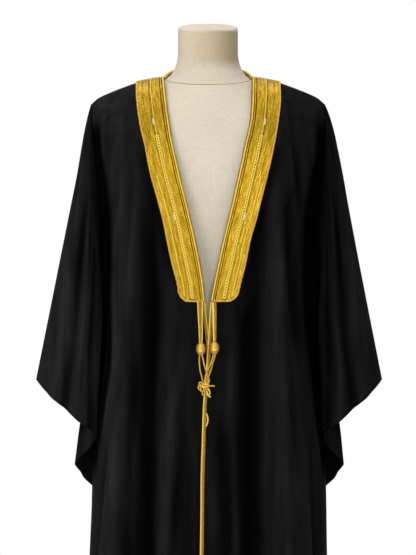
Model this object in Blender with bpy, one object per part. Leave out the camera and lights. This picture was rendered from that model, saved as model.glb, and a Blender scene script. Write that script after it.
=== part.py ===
"""A bisht cloak on a limbless dress form. Metres, +Z up, the front faces -Y.

The wearer's right side is at -X. The origin is on the floor, under the stand.
Every cloth piece is a thin wall between an outer and an inner skin. The skins
are lofted through sections that follow the shoulder line, the chest and back
profiles, the side seams and the folds given in the tables below.
"""
import math
from collections import namedtuple

import bmesh
import bpy
import numpy as np

# Walls and gaps
CLOTH_WALL = 0.0016
BAND_WALL = 0.0014
SEAM_GAP = 0.0003
LAYER_GAP = 0.0010

# Main heights
HEM_Z = 0.060
UNDERARM_Z = 0.940
CHEST_Z = 1.3456
NECK_POINT_Z = 1.4555
SHOULDER_END_Z = 1.4034
SLEEVE_TIP_Z = 0.836
CUFF_LOW_Z = 0.588

# Main widths, from the centre
NECK_POINT_X = 0.0895
BAND_TOP_X = 0.1470
SHOULDER_END_X = 0.2386

# The neckline at the back
BACK_NECK_DEPTH = 0.072
BACK_NECK_RISE = 0.018

# How the panels are divided
TOP_FRACTIONS = (0.0, 0.05, 0.15, 0.35, 0.65, 1.0)
ARM_ROWS = 12
LOW_ROWS = 9
LOW_SPACING = 1.2
BAND_COLUMNS = 3
FRONT_COLUMNS = 11
NECK_COLUMNS = 6
BACK_BAND_COLUMNS = 3
BACK_COLUMNS = 5
BAND_BOTTOM_ROW = len(TOP_FRACTIONS) - 1 + 10

# Openings and laps
ARMHOLE_HALF = 0.016
ARMHOLE_LEAST = 0.0045
LAP_FRONT = 0.0050
LAP_BACK = 0.0035
LAP_REACH = 0.050
LAP_TOP_Z = 1.020
LAP_FULL_Z = 0.950
RIDGE_REACH = 0.003
ARMHOLE_TOP_REACH = 0.05
ARMHOLE_LOW_REACH = 0.02
ARMHOLE_TOP_END = 0.006
SETTLE_REACH = 0.10
NECK_RISE_BLEND = 0.8

# Directions in which the walls thicken at the ends of the armhole seam
SHOULDER_END_NORMAL = (0.50, 0.00, 0.87)
SHOULDER_NEXT_NORMAL = (0.40, 0.80, 0.45)
UNDERARM_DOWN = -0.7
PANEL_UNDERARM_OUT = 0.7
SLEEVE_UNDERARM_IN = 0.2

# Sleeve folds at the cuff: the front layer turns in at one fraction of the cuff and out at the next
FOLD_IN_FRONT = 0.069
FOLD_IN_BACK = 0.052
SLEEVE_STEPS = (0.0, 0.07, 0.15, 0.25, 0.38, 0.52, 0.68, 0.84, 1.0)
SLEEVE_ROLL = 0.13
CUFF_SEAM_Y = 0.014
CUFF_SEAM_START = 0.7
UNDERARM_ROOM = 0.004
UNDERARM_ROOM_REACH = 0.05
SLEEVE_SEAM_GAP = 0.0005
SIDE_GAP = 0.0008
SIDE_GAP_AT_CUFF = 0.0024
SIDE_SPREAD = 0.0012
SIDE_SPREAD_START = 0.05
SIDE_SPREAD_FADE = (0.25, 0.55)

# Trim
BRAID_WIDTH = 0.0085
BRAID_HEIGHT = 0.0020
BRAID_LIFT = 0.0016
CORNER_START = 0.62
CORNER_RISE = 0.62
BACK_BAND_ROWS = 4
BACK_BAND_LEAST = 0.30
BACK_BAND_RELIEF = (0.0010, 0.0001, 0.0011, 0.0002)
BACK_BAND_GRID_ROWS = 5
BRAID_TOP_GAP = 0.009
SHOULDER_BRAID_PLACES = (0.0012, 0.0034, 0.0056)
SHOULDER_BRAID_RELIEF = (-0.0006, 0.0004, -0.0006)
SHOULDER_BRAID_GRID_ROWS = 4
SHOULDER_BRAID_END_GAP = 0.05
TIE_RIGHT_RADIUS = 0.0048
TIE_RIGHT_END_RADIUS = 0.0028
TIE_LEFT_RADIUS = 0.0040
TIE_LEFT_END_RADIUS = 0.0026
KNOT_WIDTH = 0.0125
KNOT_HEIGHT = 0.0110
BEAD_SEGMENTS = 14
BEAD_RINGS = 9
CORD_ROUNDNESS = 2
BEAD_WIDTH = 0.0190
BEAD_HEIGHT = 0.0230
STRAND_RADIUS = 0.0014

# Dress form and stand
FORM_CLEARANCE = 0.0022
FORM_EXTRA_CLEARANCE = 0.0050
FORM_EXTRA_REACH = 0.025
FORM_SHOULDER_X = 0.236
FORM_SHOULDER_POWER = 2.5
FORM_SHOULDER_ROOT = 0.4
FORM_SECTION_POWER = 2.3
FORM_SPREAD_POWER = 0.88
FORM_SETTLED_Z = 1.20
FORM_NECK_COLUMNS = 6
FORM_SHOULDER_COLUMNS = 6
FORM_MERGE = 0.00002
NECK_BASE_X = 0.0862
NECK_BASE_FRONT = 0.0650
NECK_BASE_BACK = 0.0655
NECK_BASE_Z = 1.4528
NECK_BASE_SLOPE = 0.19
NECK_TOP_RADIUS = 0.0612
NECK_TOP_Z = 1.5560
NECK_TILT = math.radians(3.0)
NECK_SEGMENTS = 24
NECK_RIM_EASE = 0.3
POLE_RADIUS = 0.0175
BASE_RADIUS = 0.180
BASE_HEIGHT = 0.020
BASE_BEVEL = 0.004
POLE_SEGMENTS = 24
BASE_SEGMENTS = 48
CREASE_ANGLE = math.radians(40)
FORM_BOTTOM_Z = 0.800

# Shoulder line: distance from the centre and height
Shoulder = namedtuple("Shoulder", "x z")
SHOULDER_LINE = (
    Shoulder(0.0895, 1.4555),
    Shoulder(0.1090, 1.4535),
    Shoulder(0.1300, 1.4500),
    Shoulder(0.1470, 1.4463),
    Shoulder(0.1650, 1.4402),
    Shoulder(0.1970, 1.4280),
    Shoulder(0.2240, 1.4157),
    Shoulder(0.2386, 1.4034),
)

# How far the front and the back stand out at each drop below the shoulder line
Profile = namedtuple("Profile", "drop front back")
PROFILE = (
    Profile(0.000, 0.000, 0.000),
    Profile(0.003, 0.014, 0.013),
    Profile(0.008, 0.026, 0.025),
    Profile(0.016, 0.040, 0.039),
    Profile(0.030, 0.058, 0.059),
    Profile(0.050, 0.075, 0.078),
    Profile(0.080, 0.092, 0.093),
    Profile(0.120, 0.106, 0.103),
    Profile(0.170, 0.117, 0.109),
    Profile(0.250, 0.126, 0.113),
    Profile(0.400, 0.134, 0.117),
    Profile(0.600, 0.141, 0.123),
    Profile(1.000, 0.155, 0.138),
    Profile(1.400, 0.170, 0.155),
)

# Side seams: half width at the wearer's right and left, and how square the section is
Side = namedtuple("Side", "z right left square")
SIDES = (
    Side(1.4034, 0.2386, 0.2386, 2.3),
    Side(1.3840, 0.2380, 0.2385, 2.4),
    Side(1.3150, 0.2315, 0.2370, 2.6),
    Side(1.2500, 0.2265, 0.2310, 2.6),
    Side(1.1470, 0.2215, 0.2195, 2.6),
    Side(1.0300, 0.2160, 0.2150, 2.6),
    Side(0.9400, 0.2065, 0.2150, 2.8),
    Side(0.8800, 0.2055, 0.2205, 3.2),
    Side(0.8170, 0.2130, 0.2250, 3.8),
    Side(0.7530, 0.2210, 0.2305, 4.0),
    Side(0.6920, 0.2290, 0.2380, 4.0),
    Side(0.6300, 0.2350, 0.2425, 4.0),
    Side(0.4850, 0.2440, 0.2455, 3.8),
    Side(0.0600, 0.2560, 0.2570, 3.6),
)

# Front edges: where each front begins, counted from the centre towards its own side
Edge = namedtuple("Edge", "z right left")
FRONT_EDGES = (
    Edge(1.4555, 0.0895, 0.0895),
    Edge(1.3770, 0.0788, 0.0850),
    Edge(1.3180, 0.0689, 0.0725),
    Edge(1.2890, 0.0618, 0.0666),
    Edge(1.2490, 0.0528, 0.0575),
    Edge(1.2097, 0.0428, 0.0488),
    Edge(1.1301, 0.0245, 0.0295),
    Edge(1.0774, 0.0140, 0.0181),
    Edge(1.0386, 0.0085, 0.0100),
    Edge(1.0087, 0.0056, 0.0050),
    Edge(0.9730, 0.0020, 0.0020),
    Edge(0.9269, -0.0030, -0.0012),
    Edge(0.8760, -0.0060, -0.0042),
    Edge(0.8000, -0.0060, -0.0104),
    Edge(0.7180, -0.0030, -0.0130),
    Edge(0.5000, 0.0010, -0.0166),
    Edge(0.0600, 0.0080, -0.0240),
)

# Outer line of the gold band, carried on down the panel below it
BAND_LINE = (
    Edge(1.4463, 0.1470, 0.1470),
    Edge(1.4150, 0.1450, 0.1468),
    Edge(1.3650, 0.1380, 0.1411),
    Edge(1.3140, 0.1258, 0.1318),
    Edge(1.2640, 0.1160, 0.1205),
    Edge(1.2160, 0.1022, 0.1084),
    Edge(1.1700, 0.0902, 0.0964),
    Edge(1.1300, 0.0824, 0.0845),
    Edge(1.0812, 0.0718, 0.0748),
    Edge(1.0414, 0.0614, 0.0648),
    Edge(1.0076, 0.0570, 0.0590),
    Edge(0.9400, 0.0600, 0.0620),
    Edge(0.7000, 0.0660, 0.0660),
    Edge(0.0600, 0.0750, 0.0750),
)

# Largest folds: three places along each fold, its half width, and how far it stands out or sinks in
Fold = namedtuple("Fold", "x_top z_top x_mid z_mid x_low z_low width depth")
FRONT_RIGHT_FOLDS = (
    Fold(-0.121, 1.270, -0.116, 1.110, -0.124, 0.060, 0.023, -0.015),
    Fold(-0.135, 1.240, -0.180, 0.970, -0.216, 0.740, 0.018, 0.009),
    Fold(-0.046, 0.910, -0.072, 0.769, -0.112, 0.060, 0.020, 0.012),
    Fold(-0.176, 0.800, -0.193, 0.658, -0.222, 0.060, 0.015, 0.009),
    Fold(-0.090, 1.130, -0.066, 1.060, -0.040, 1.000, 0.018, -0.004),
)
FRONT_LEFT_FOLDS = (
    Fold(0.110, 1.230, 0.082, 0.900, 0.090, 0.060, 0.020, -0.014),
    Fold(0.129, 1.260, 0.145, 0.980, 0.170, 0.060, 0.021, 0.010),
    Fold(0.157, 1.230, 0.164, 1.080, 0.182, 0.900, 0.013, -0.008),
    Fold(0.024, 0.780, 0.038, 0.600, 0.064, 0.060, 0.015, -0.007),
    Fold(0.180, 0.770, 0.189, 0.668, 0.216, 0.060, 0.014, 0.009),
)
BACK_FOLDS = (
    Fold(-0.165, 1.220, -0.172, 0.850, -0.190, 0.060, 0.021, 0.013),
    Fold(-0.112, 1.180, -0.118, 0.800, -0.130, 0.060, 0.023, -0.013),
    Fold(-0.050, 1.240, -0.058, 0.780, -0.068, 0.060, 0.022, 0.012),
    Fold(0.008, 1.140, 0.004, 0.720, -0.004, 0.060, 0.022, -0.011),
    Fold(0.062, 1.260, 0.068, 0.800, 0.072, 0.060, 0.021, 0.012),
    Fold(0.116, 1.150, 0.125, 0.760, 0.136, 0.060, 0.023, -0.013),
    Fold(0.168, 1.230, 0.182, 0.820, 0.196, 0.060, 0.020, 0.012),
)
FOLD_FADE = 0.11
FOLD_OVERRUN = 0.03
STIFF_BLEND = 3

# Outer edge of each sleeve, from the shoulder end to the tip of the cuff
SLEEVE_OUTLINE = (
    Edge(1.4034, 0.2389, 0.2389),
    Edge(1.3900, 0.2443, 0.2462),
    Edge(1.3667, 0.2500, 0.2543),
    Edge(1.3196, 0.2586, 0.2648),
    Edge(1.2581, 0.2692, 0.2774),
    Edge(1.1960, 0.2819, 0.2885),
    Edge(0.8360, 0.3556, 0.3600),
)

# Across half a sleeve, from the outer edge to the underarm: how far the pleat is turned in, and depth
Pleat = namedtuple("Pleat", "at turned depth")
FRONT_PLEAT = (
    Pleat(0.000, 0.00, 0.000),
    Pleat(0.040, 0.07, -0.020),
    Pleat(0.100, 0.17, -0.036),
    Pleat(0.200, 0.34, -0.045),
    Pleat(0.400, 0.69, -0.049),
    Pleat(0.572, 1.00, -0.037),
    Pleat(0.640, 0.55, -0.027),
    Pleat(0.712, 0.00, -0.012),
    Pleat(0.800, 0.00, 0.000),
    Pleat(0.900, 0.00, 0.009),
    Pleat(1.000, 0.00, 0.014),
)
BACK_PLEAT = (
    Pleat(0.000, 0.00, 0.000),
    Pleat(0.040, 0.07, 0.020),
    Pleat(0.100, 0.18, 0.039),
    Pleat(0.200, 0.37, 0.052),
    Pleat(0.400, 0.76, 0.060),
    Pleat(0.520, 1.00, 0.054),
    Pleat(0.600, 0.52, 0.047),
    Pleat(0.680, 0.00, 0.037),
    Pleat(0.800, 0.00, 0.028),
    Pleat(0.900, 0.00, 0.021),
    Pleat(1.000, 0.00, 0.014),
)

# Relief across the gold band, from its inner edge to its outer edge
Relief = namedtuple("Relief", "at height")
BAND_RELIEF = (
    Relief(0.00, 0.0010),
    Relief(0.09, 0.0010),
    Relief(0.14, 0.0000),
    Relief(0.48, 0.0001),
    Relief(0.54, 0.0011),
    Relief(0.60, 0.0001),
    Relief(0.77, 0.0001),
    Relief(0.81, 0.0008),
    Relief(0.85, 0.0001),
    Relief(1.00, 0.0002),
)
BRAID_RELIEF = (
    Relief(0.00, 0.15),
    Relief(0.28, 1.00),
    Relief(0.52, 0.72),
    Relief(0.76, 0.95),
    Relief(1.00, 0.15),
)

# Dress form below the chest: half width, front and back
Body = namedtuple("Body", "z half front back")
FORM_SECTIONS = (
    Body(1.4120, 0.2215, 0.100, 0.098),
    Body(1.3456, 0.2060, 0.098, 0.094),
    Body(1.3000, 0.1900, 0.104, 0.098),
    Body(1.2500, 0.1800, 0.106, 0.096),
    Body(1.1900, 0.1680, 0.104, 0.088),
    Body(1.1200, 0.1560, 0.098, 0.080),
    Body(1.0500, 0.1500, 0.095, 0.078),
    Body(0.9700, 0.1570, 0.098, 0.088),
    Body(0.9000, 0.1660, 0.101, 0.100),
    Body(0.8400, 0.1680, 0.100, 0.101),
    Body(0.8000, 0.1640, 0.096, 0.097),
)

# Neck of the form: how far up, and how much of the flare is left
NeckRing = namedtuple("NeckRing", "up flare")
NECK_RINGS = (
    NeckRing(0.00, 1.00),
    NeckRing(0.04, 0.76),
    NeckRing(0.11, 0.50),
    NeckRing(0.22, 0.25),
    NeckRing(0.36, 0.07),
    NeckRing(0.52, 0.00),
    NeckRing(0.95, 0.00),
    NeckRing(0.985, -0.07),
    NeckRing(1.00, -0.24),
)

# Routes of the ties, in front of the fronts
Point = namedtuple("Point", "x y z")
TIE_UPPER_RIGHT = (
    Point(-0.0160, -0.1426, 1.0089),
    Point(-0.0156, -0.1500, 0.9850),
    Point(-0.0148, -0.1515, 0.9600),
    Point(-0.0144, -0.1530, 0.9400),
    Point(-0.0143, -0.1565, 0.9267),
)
TIE_UPPER_LEFT = (
    Point(0.0117, -0.1448, 1.0067),
    Point(0.0126, -0.1508, 0.9850),
    Point(0.0128, -0.1525, 0.9600),
    Point(0.0129, -0.1538, 0.9420),
    Point(0.0129, -0.1570, 0.9286),
)
BEAD_RIGHT = Point(-0.0143, -0.1570, 0.9148)
BEAD_LEFT = Point(0.0129, -0.1575, 0.9168)
KNOT = Point(-0.0060, -0.1566, 0.8400)
TIE_ROUTES = {
    "tie_strand_right_1": (
        Point(-0.0166, -0.1585, 0.9031),
        Point(-0.0172, -0.1565, 0.8950),
        Point(-0.0170, -0.1550, 0.8850),
        Point(-0.0158, -0.1540, 0.8730),
        Point(-0.0126, -0.1540, 0.8600),
        Point(-0.0100, -0.1552, 0.8500),
        Point(-0.0087, -0.1566, 0.8456),
    ),
    "tie_strand_right_2": (
        Point(-0.0119, -0.1600, 0.90375),
        Point(-0.0096, -0.1610, 0.8940),
        Point(-0.0080, -0.1618, 0.8860),
        Point(-0.0050, -0.1623, 0.8760),
        Point(-0.0020, -0.1620, 0.8660),
        Point(0.0010, -0.1610, 0.8560),
        Point(0.0004, -0.1591, 0.8429),
    ),
    "tie_strand_left_1": (
        Point(0.0112, -0.1590, 0.9052),
        Point(0.0086, -0.1585, 0.8960),
        Point(0.0062, -0.1580, 0.8870),
        Point(0.0014, -0.1580, 0.8770),
        Point(-0.0028, -0.1582, 0.8680),
        Point(-0.0054, -0.1586, 0.8580),
        Point(-0.0062, -0.1587, 0.8457),
    ),
    "tie_strand_left_2": (
        Point(0.0148, -0.1585, 0.9047),
        Point(0.0126, -0.1560, 0.8960),
        Point(0.0090, -0.1545, 0.8850),
        Point(0.0062, -0.1538, 0.8740),
        Point(0.0030, -0.1535, 0.8640),
        Point(-0.0002, -0.1540, 0.8540),
        Point(-0.0028, -0.1555, 0.8451),
    ),
    "tie_end_right": (
        Point(-0.0119, -0.1579, 0.8421),
        Point(-0.0168, -0.1582, 0.8432),
        Point(-0.0192, -0.1586, 0.8390),
        Point(-0.0182, -0.1590, 0.8352),
        Point(-0.0146, -0.1590, 0.8330),
        Point(-0.0116, -0.1588, 0.8290),
        Point(-0.0106, -0.1585, 0.8230),
    ),
    "tie_end_left": (
        Point(0.0004, -0.1584, 0.8403),
        Point(0.0050, -0.1590, 0.8412),
        Point(0.0090, -0.1588, 0.8414),
        Point(0.0130, -0.1585, 0.8406),
    ),
    "tie_end_low": (
        Point(-0.0033, -0.1579, 0.8348),
        Point(-0.0012, -0.1585, 0.8280),
        Point(0.0002, -0.1585, 0.8225),
        Point(0.0026, -0.1580, 0.8196),
        Point(0.0056, -0.1570, 0.8190),
    ),
}
ROUTE_POINTS = 14
UPPER_POINTS = 10

# Colour, roughness and metallic value of each finish
Finish = namedtuple("Finish", "colour roughness metallic")
FINISHES = {
    "black_wool": Finish((0.012, 0.012, 0.014, 1.0), 0.85, 0.0),
    "zari_gold": Finish((0.62, 0.40, 0.09, 1.0), 0.42, 0.6),
    "gold_cord": Finish((0.70, 0.50, 0.16, 1.0), 0.50, 0.4),
    "linen": Finish((0.72, 0.66, 0.55, 1.0), 0.90, 0.0),
    "dark_metal": Finish((0.04, 0.04, 0.045, 1.0), 0.40, 0.8),
}

COLLECTION = "bisht_cloak_on_dress_form"


def column(rows, name):
    """One named column of a table, as an array."""
    return np.array([getattr(row, name) for row in rows])


def smooth(knots, values, at):
    """A cubic through the knots that doesn't overshoot them, held level past both ends."""
    if knots[0] > knots[-1]:
        knots, values = knots[::-1], values[::-1]
    steps = np.diff(values) / np.diff(knots)
    before, after = steps[:-1], steps[1:]
    total = np.where(before + after == 0.0, 1.0, before + after)
    middle = np.where(before * after > 0.0, 2.0 * before * after / total, 0.0)
    slopes = np.concatenate((steps[:1], middle, steps[-1:]))
    at = np.clip(at, knots[0], knots[-1])
    low = np.clip(np.searchsorted(knots, at) - 1, 0, len(knots) - 2)
    width = knots[low + 1] - knots[low]
    t = (at - knots[low]) / width
    start = (1 + 2 * t) * (1 - t) ** 2 * values[low] + t * (1 - t) ** 2 * width * slopes[low]
    end = t * t * (3 - 2 * t) * values[low + 1] - t * t * (1 - t) * width * slopes[low + 1]
    return start + end


def look_up(rows, key, value, at):
    """A table read smoothly between its rows."""
    return smooth(column(rows, key), column(rows, value), at)


def ease(t):
    """Nought to one, level at both ends."""
    t = np.clip(t, 0.0, 1.0)
    return t * t * (3 - 2 * t)


def unit(vectors):
    """Vectors of length one."""
    length = np.linalg.norm(vectors, axis=-1, keepdims=True)
    return vectors / np.where(length < 1e-12, 1.0, length)


def side_name(side):
    """The wearer's side: -1 is right and 1 is left."""
    return "right" if side < 0 else "left"


def shoulder_z(x):
    """Height of the shoulder line at a distance from the centre."""
    return look_up(SHOULDER_LINE, "x", "z", abs(x))


def half_width(side, z):
    """Distance of the side seam from the centre."""
    return look_up(SIDES, "z", side_name(side), z)


def armhole_half(z):
    """Half of the armhole's opening from front to back, closed at both of its ends."""
    up = np.clip((z - UNDERARM_Z) / (CHEST_Z - UNDERARM_Z), 0.0, 1.0)
    down = ease((SHOULDER_END_Z - z) / ARMHOLE_TOP_REACH)
    least = ease((z - UNDERARM_Z) / ARMHOLE_LOW_REACH) * ease((SHOULDER_END_Z - z) / ARMHOLE_TOP_END)
    return ARMHOLE_HALF * up * down + ARMHOLE_LEAST * least


def fold_depth(folds, x, z):
    """How far the folds move the cloth out at a place."""
    total = 0.0
    for fold in folds:
        heights = np.array([fold.z_low, fold.z_mid, fold.z_top])
        middle = smooth(heights, np.array([fold.x_low, fold.x_mid, fold.x_top]), z)
        fade = ease((fold.z_top + FOLD_OVERRUN - z) / FOLD_FADE)
        if fold.z_low > HEM_Z:
            fade = fade * ease((z - fold.z_low + FOLD_OVERRUN) / FOLD_FADE)
        total += fold.depth * fade * math.exp(-(((x - middle) / fold.width) ** 2))
    return total


def section_share(side, x, z):
    """How much of the full depth is left at x, round the section towards the side seam."""
    power = look_up(SIDES, "z", "square", z)
    across = min(abs(x) / half_width(side, z), 1.0)
    return (1.0 - across ** power) ** (1.0 / power)


def depth_at(facing, side, x, z):
    """Distance of the cloth from the plane of the shoulder line, before its folds."""
    drop = max(float(shoulder_z(x)) - z, 0.0)
    full = float(look_up(PROFILE, "drop", facing, drop))
    seam = float(armhole_half(z)) + SEAM_GAP / 2
    return seam + max(full - seam, 0.0) * section_share(side, x, z)


def row_heights(top_z):
    """Heights of a column's points, from the shoulder line or neckline to the hem."""
    top = [top_z - fraction * (top_z - CHEST_Z) for fraction in TOP_FRACTIONS]
    arm = [CHEST_Z + (UNDERARM_Z - CHEST_Z) * row / ARM_ROWS for row in range(1, ARM_ROWS + 1)]
    low = [UNDERARM_Z + (HEM_Z - UNDERARM_Z) * (row / LOW_ROWS) ** LOW_SPACING
           for row in range(1, LOW_ROWS + 1)]
    return np.array(top + arm + low)


def grid_normals(grid, closed=False):
    """Normals of a grid of points from its neighbours along rows and columns."""
    if closed:
        along = np.roll(grid, -1, axis=1) - np.roll(grid, 1, axis=1)
    else:
        along = np.gradient(grid, axis=1)
    return unit(np.cross(along, np.gradient(grid, axis=0)))


def arm_normals(side, facing_sign, underarm_x):
    """Normals down the armhole seam, shared by both walls so that they keep their gap."""
    count = len(TOP_FRACTIONS) + ARM_ROWS
    normals = np.tile(np.array([0.0, facing_sign, 0.0]), (count, 1))
    out = np.array([side, facing_sign, 1.0])
    normals[0] = unit(out * SHOULDER_END_NORMAL)
    normals[1] = unit(out * SHOULDER_NEXT_NORMAL)
    normals[-1] = unit(np.array([underarm_x, 0.0, UNDERARM_DOWN]))
    return normals


def push_folds(grid, normals, folds, stiff_columns=0):
    """Move the points along their level normals by the depth of the folds, less under the stiff band."""
    moved = grid.copy()
    for row in range(grid.shape[0]):
        for col in range(grid.shape[1]):
            x, _, z = grid[row, col]
            level = unit(normals[row, col] * np.array([1.0, 1.0, 0.0]))
            soft = 1.0
            if row <= BAND_BOTTOM_ROW and stiff_columns:
                soft = min(max((col - stiff_columns + 1) / STIFF_BLEND, 0.0), 1.0)
            moved[row, col] += level * soft * fold_depth(folds, x, z)
    return moved


def front_grid(side):
    """Outer points and normals of one front: rows downward, columns from the edge to the side seam."""
    name = side_name(side)
    edge_z = row_heights(NECK_POINT_Z)
    band_z = row_heights(shoulder_z(BAND_TOP_X))
    seam_z = row_heights(SHOULDER_END_Z)
    columns = BAND_COLUMNS + FRONT_COLUMNS
    grid = np.zeros((len(edge_z), columns + 1, 3))
    for row in range(len(edge_z)):
        edge_x = look_up(FRONT_EDGES, "z", name, edge_z[row])
        band_x = look_up(BAND_LINE, "z", name, band_z[row])
        seam_x = half_width(side, seam_z[row])
        power = look_up(SIDES, "z", "square", seam_z[row])
        first = math.asin((band_x / seam_x) ** (power / 2))
        for col in range(columns + 1):
            if col <= BAND_COLUMNS:
                x = edge_x + (band_x - edge_x) * col / BAND_COLUMNS
            else:
                turn = first + (math.pi / 2 - first) * (col - BAND_COLUMNS) / FRONT_COLUMNS
                x = seam_x * math.sin(turn) ** (2 / power)
            if row == 0:
                z = float(shoulder_z(x))
            else:
                z = row_heights(grid[0, col, 2])[row]
            y = -depth_at("front", side, x, z)
            lap = ease((LAP_TOP_Z - z) / (LAP_TOP_Z - LAP_FULL_Z)) * math.exp(-(x - edge_x) / LAP_REACH)
            y += lap * (LAP_BACK if side < 0 else -LAP_FRONT)
            grid[row, col] = (side * x, y, z)
    folds = FRONT_RIGHT_FOLDS if side < 0 else FRONT_LEFT_FOLDS
    grid = push_folds(grid, -side * grid_normals(grid), folds, BAND_COLUMNS)
    pin_seams(grid, side, -1)
    return grid, seam_normals(grid, side * grid_normals(grid), side, -1)


def pin_seams(grid, side, facing_sign):
    """Put the last column back on the side seam and the first row on the shoulder seam."""
    for row in range(grid.shape[0]):
        z = grid[row, -1, 2]
        grid[row, -1, 0] = side * half_width(side, z)
        grid[row, -1, 1] = facing_sign * (armhole_half(z) + SEAM_GAP / 2)


def seam_normals(grid, normals, side, facing_sign):
    """Normals whose seam rows and columns lie in the seam's own plane."""
    normals = normals * np.sign(np.sum(normals[:, :, 1]) * facing_sign)
    flat = np.array([1.0, 0.0, 1.0])
    on_ridge = np.abs(grid[0, :, 1]) < RIDGE_REACH
    normals[0, on_ridge] = unit(normals[0, on_ridge] * flat)
    normals[:, -1] = unit(normals[:, -1] * flat)
    arm = arm_normals(side, facing_sign, side * PANEL_UNDERARM_OUT)
    normals[:len(arm), -1] = arm
    return normals


def back_top(col):
    """Top point of a back column: on the neckline, then along the shoulder line."""
    if col <= NECK_COLUMNS:
        turn = math.pi / 2 * (1.0 - col / NECK_COLUMNS)
        x = NECK_POINT_X * math.cos(turn)
        rise = BACK_NECK_RISE * ease(math.sin(turn) / NECK_RISE_BLEND)
        return x, SEAM_GAP / 2 + BACK_NECK_DEPTH * math.sin(turn), NECK_POINT_Z + rise
    if col <= NECK_COLUMNS + BACK_BAND_COLUMNS:
        share = (col - NECK_COLUMNS) / BACK_BAND_COLUMNS
        x = NECK_POINT_X + (BAND_TOP_X - NECK_POINT_X) * share
    else:
        share = (col - NECK_COLUMNS - BACK_BAND_COLUMNS) / BACK_COLUMNS
        x = BAND_TOP_X + (SHOULDER_END_X - BAND_TOP_X) * math.sin(share * math.pi / 2)
    return x, SEAM_GAP / 2, float(shoulder_z(x))


def back_half(side):
    """Outer points of half of the back, from the centre to the side seam."""
    columns = NECK_COLUMNS + BACK_BAND_COLUMNS + BACK_COLUMNS
    seam_z = row_heights(SHOULDER_END_Z)
    grid = np.zeros((len(seam_z), columns + 1, 3))
    for col in range(columns + 1):
        top_x, top_y, top_z = back_top(col)
        heights = row_heights(top_z)
        chest_depth = depth_at("back", side, top_x, CHEST_Z)
        for row, z in enumerate(heights):
            seam_x = half_width(side, seam_z[row])
            power = look_up(SIDES, "z", "square", seam_z[row])
            turn = math.pi / 2 * col / columns
            low_x = seam_x * math.sin(turn) ** (2 / power)
            settled = ease((top_z - z) / (top_z - CHEST_Z + SETTLE_REACH))
            x = top_x * seam_x / SHOULDER_END_X * (1 - settled) + low_x * settled
            natural = depth_at("back", side, x, z)
            stand = max(1.0 - natural / chest_depth, 0.0) if z > CHEST_Z else 0.0
            grid[row, col] = (side * x, natural + (top_y - SEAM_GAP / 2) * stand, z)
    return grid


def back_grid():
    """Outer points and normals of the whole back, from the wearer's right to the left."""
    right = back_half(-1)
    left = back_half(1)
    grid = np.concatenate((right[:, ::-1], left[:, 1:]), axis=1)
    normals = grid_normals(grid)
    normals = normals * np.sign(np.sum(normals[:, :, 1]))
    grid = push_folds(grid, normals, BACK_FOLDS)
    pin_seams(grid, 1, 1)
    pin_seams(grid[:, ::-1], -1, 1)
    normals = grid_normals(grid)
    normals = seam_normals(grid, normals, 1, 1)
    mirrored = seam_normals(grid[:, ::-1], normals[:, ::-1], -1, 1)
    return grid, mirrored[:, ::-1]


def sleeve_half(side, pleats, turn_in, facing_sign, along):
    """Points of one half of a sleeve ring, from its outer edge to the underarm."""
    name = side_name(side)
    seam_z = row_heights(SHOULDER_END_Z)[:len(TOP_FRACTIONS) + ARM_ROWS]
    share = (SHOULDER_END_Z - seam_z) / (SHOULDER_END_Z - UNDERARM_Z)
    outer_z = SHOULDER_END_Z + (SLEEVE_TIP_Z - SHOULDER_END_Z) * along
    outer = np.array([look_up(SLEEVE_OUTLINE, "z", name, outer_z), outer_z])
    under_z = UNDERARM_Z + (CUFF_LOW_Z - UNDERARM_Z) * along
    gap = SIDE_GAP + SIDE_GAP_AT_CUFF * along
    under = np.array([half_width(side, under_z) + gap, under_z])
    straight = under - outer
    inward = np.array([straight[1], -straight[0]]) / np.linalg.norm(straight)
    turned = look_up(pleats, "at", "turned", share) * turn_in * along
    flat = outer + share[:, None] * straight + turned[:, None] * inward
    body_z = row_heights(SHOULDER_END_Z)[::-1]
    fade_start, fade_end = SIDE_SPREAD_FADE
    spread = ease(along / SIDE_SPREAD_START) * (1.0 - ease((along - fade_start) / (fade_end - fade_start)))
    beside = np.interp(flat[:, 1], body_z, half_width(side, body_z)) + gap
    flat[:, 0] = np.maximum(flat[:, 0], beside + SIDE_SPREAD * spread)
    depth = look_up(pleats, "at", "depth", share)
    depth = depth - CUFF_SEAM_Y * ease((share - CUFF_SEAM_START) / (1.0 - CUFF_SEAM_START)) * (1.0 - along)
    room = ease((1.0 - share) / UNDERARM_ROOM_REACH) * (1.0 - along)
    depth = depth + facing_sign * UNDERARM_ROOM * room
    points = np.stack((side * flat[:, 0], depth, flat[:, 1]), axis=1)
    seam = np.stack((
        side * (half_width(side, seam_z) + SLEEVE_SEAM_GAP),
        facing_sign * armhole_half(seam_z),
        seam_z,
    ), axis=1)
    rolled = math.sin(math.pi / 2 * min(along / SLEEVE_ROLL, 1.0))
    return seam + (points - seam) * rolled


def sleeve_grid(side):
    """Outer points and normals of a sleeve: rings from the armhole to the cuff."""
    rings = []
    for along in SLEEVE_STEPS:
        front = sleeve_half(side, FRONT_PLEAT, FOLD_IN_FRONT, -1, along)
        back = sleeve_half(side, BACK_PLEAT, FOLD_IN_BACK, 1, along)
        rings.append(np.concatenate((front, back[-2:0:-1])))
    grid = np.array(rings)
    normals = side * grid_normals(grid, closed=True)
    front_arm = arm_normals(side, -1, -side * SLEEVE_UNDERARM_IN)
    back_arm = arm_normals(side, 1, -side * SLEEVE_UNDERARM_IN)
    normals[0] = np.concatenate((front_arm, back_arm[-2:0:-1]))
    return grid, normals


def clear_scene():
    """Start from an empty scene."""
    for item in list(bpy.data.objects):
        bpy.data.objects.remove(item, do_unlink=True)


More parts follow.
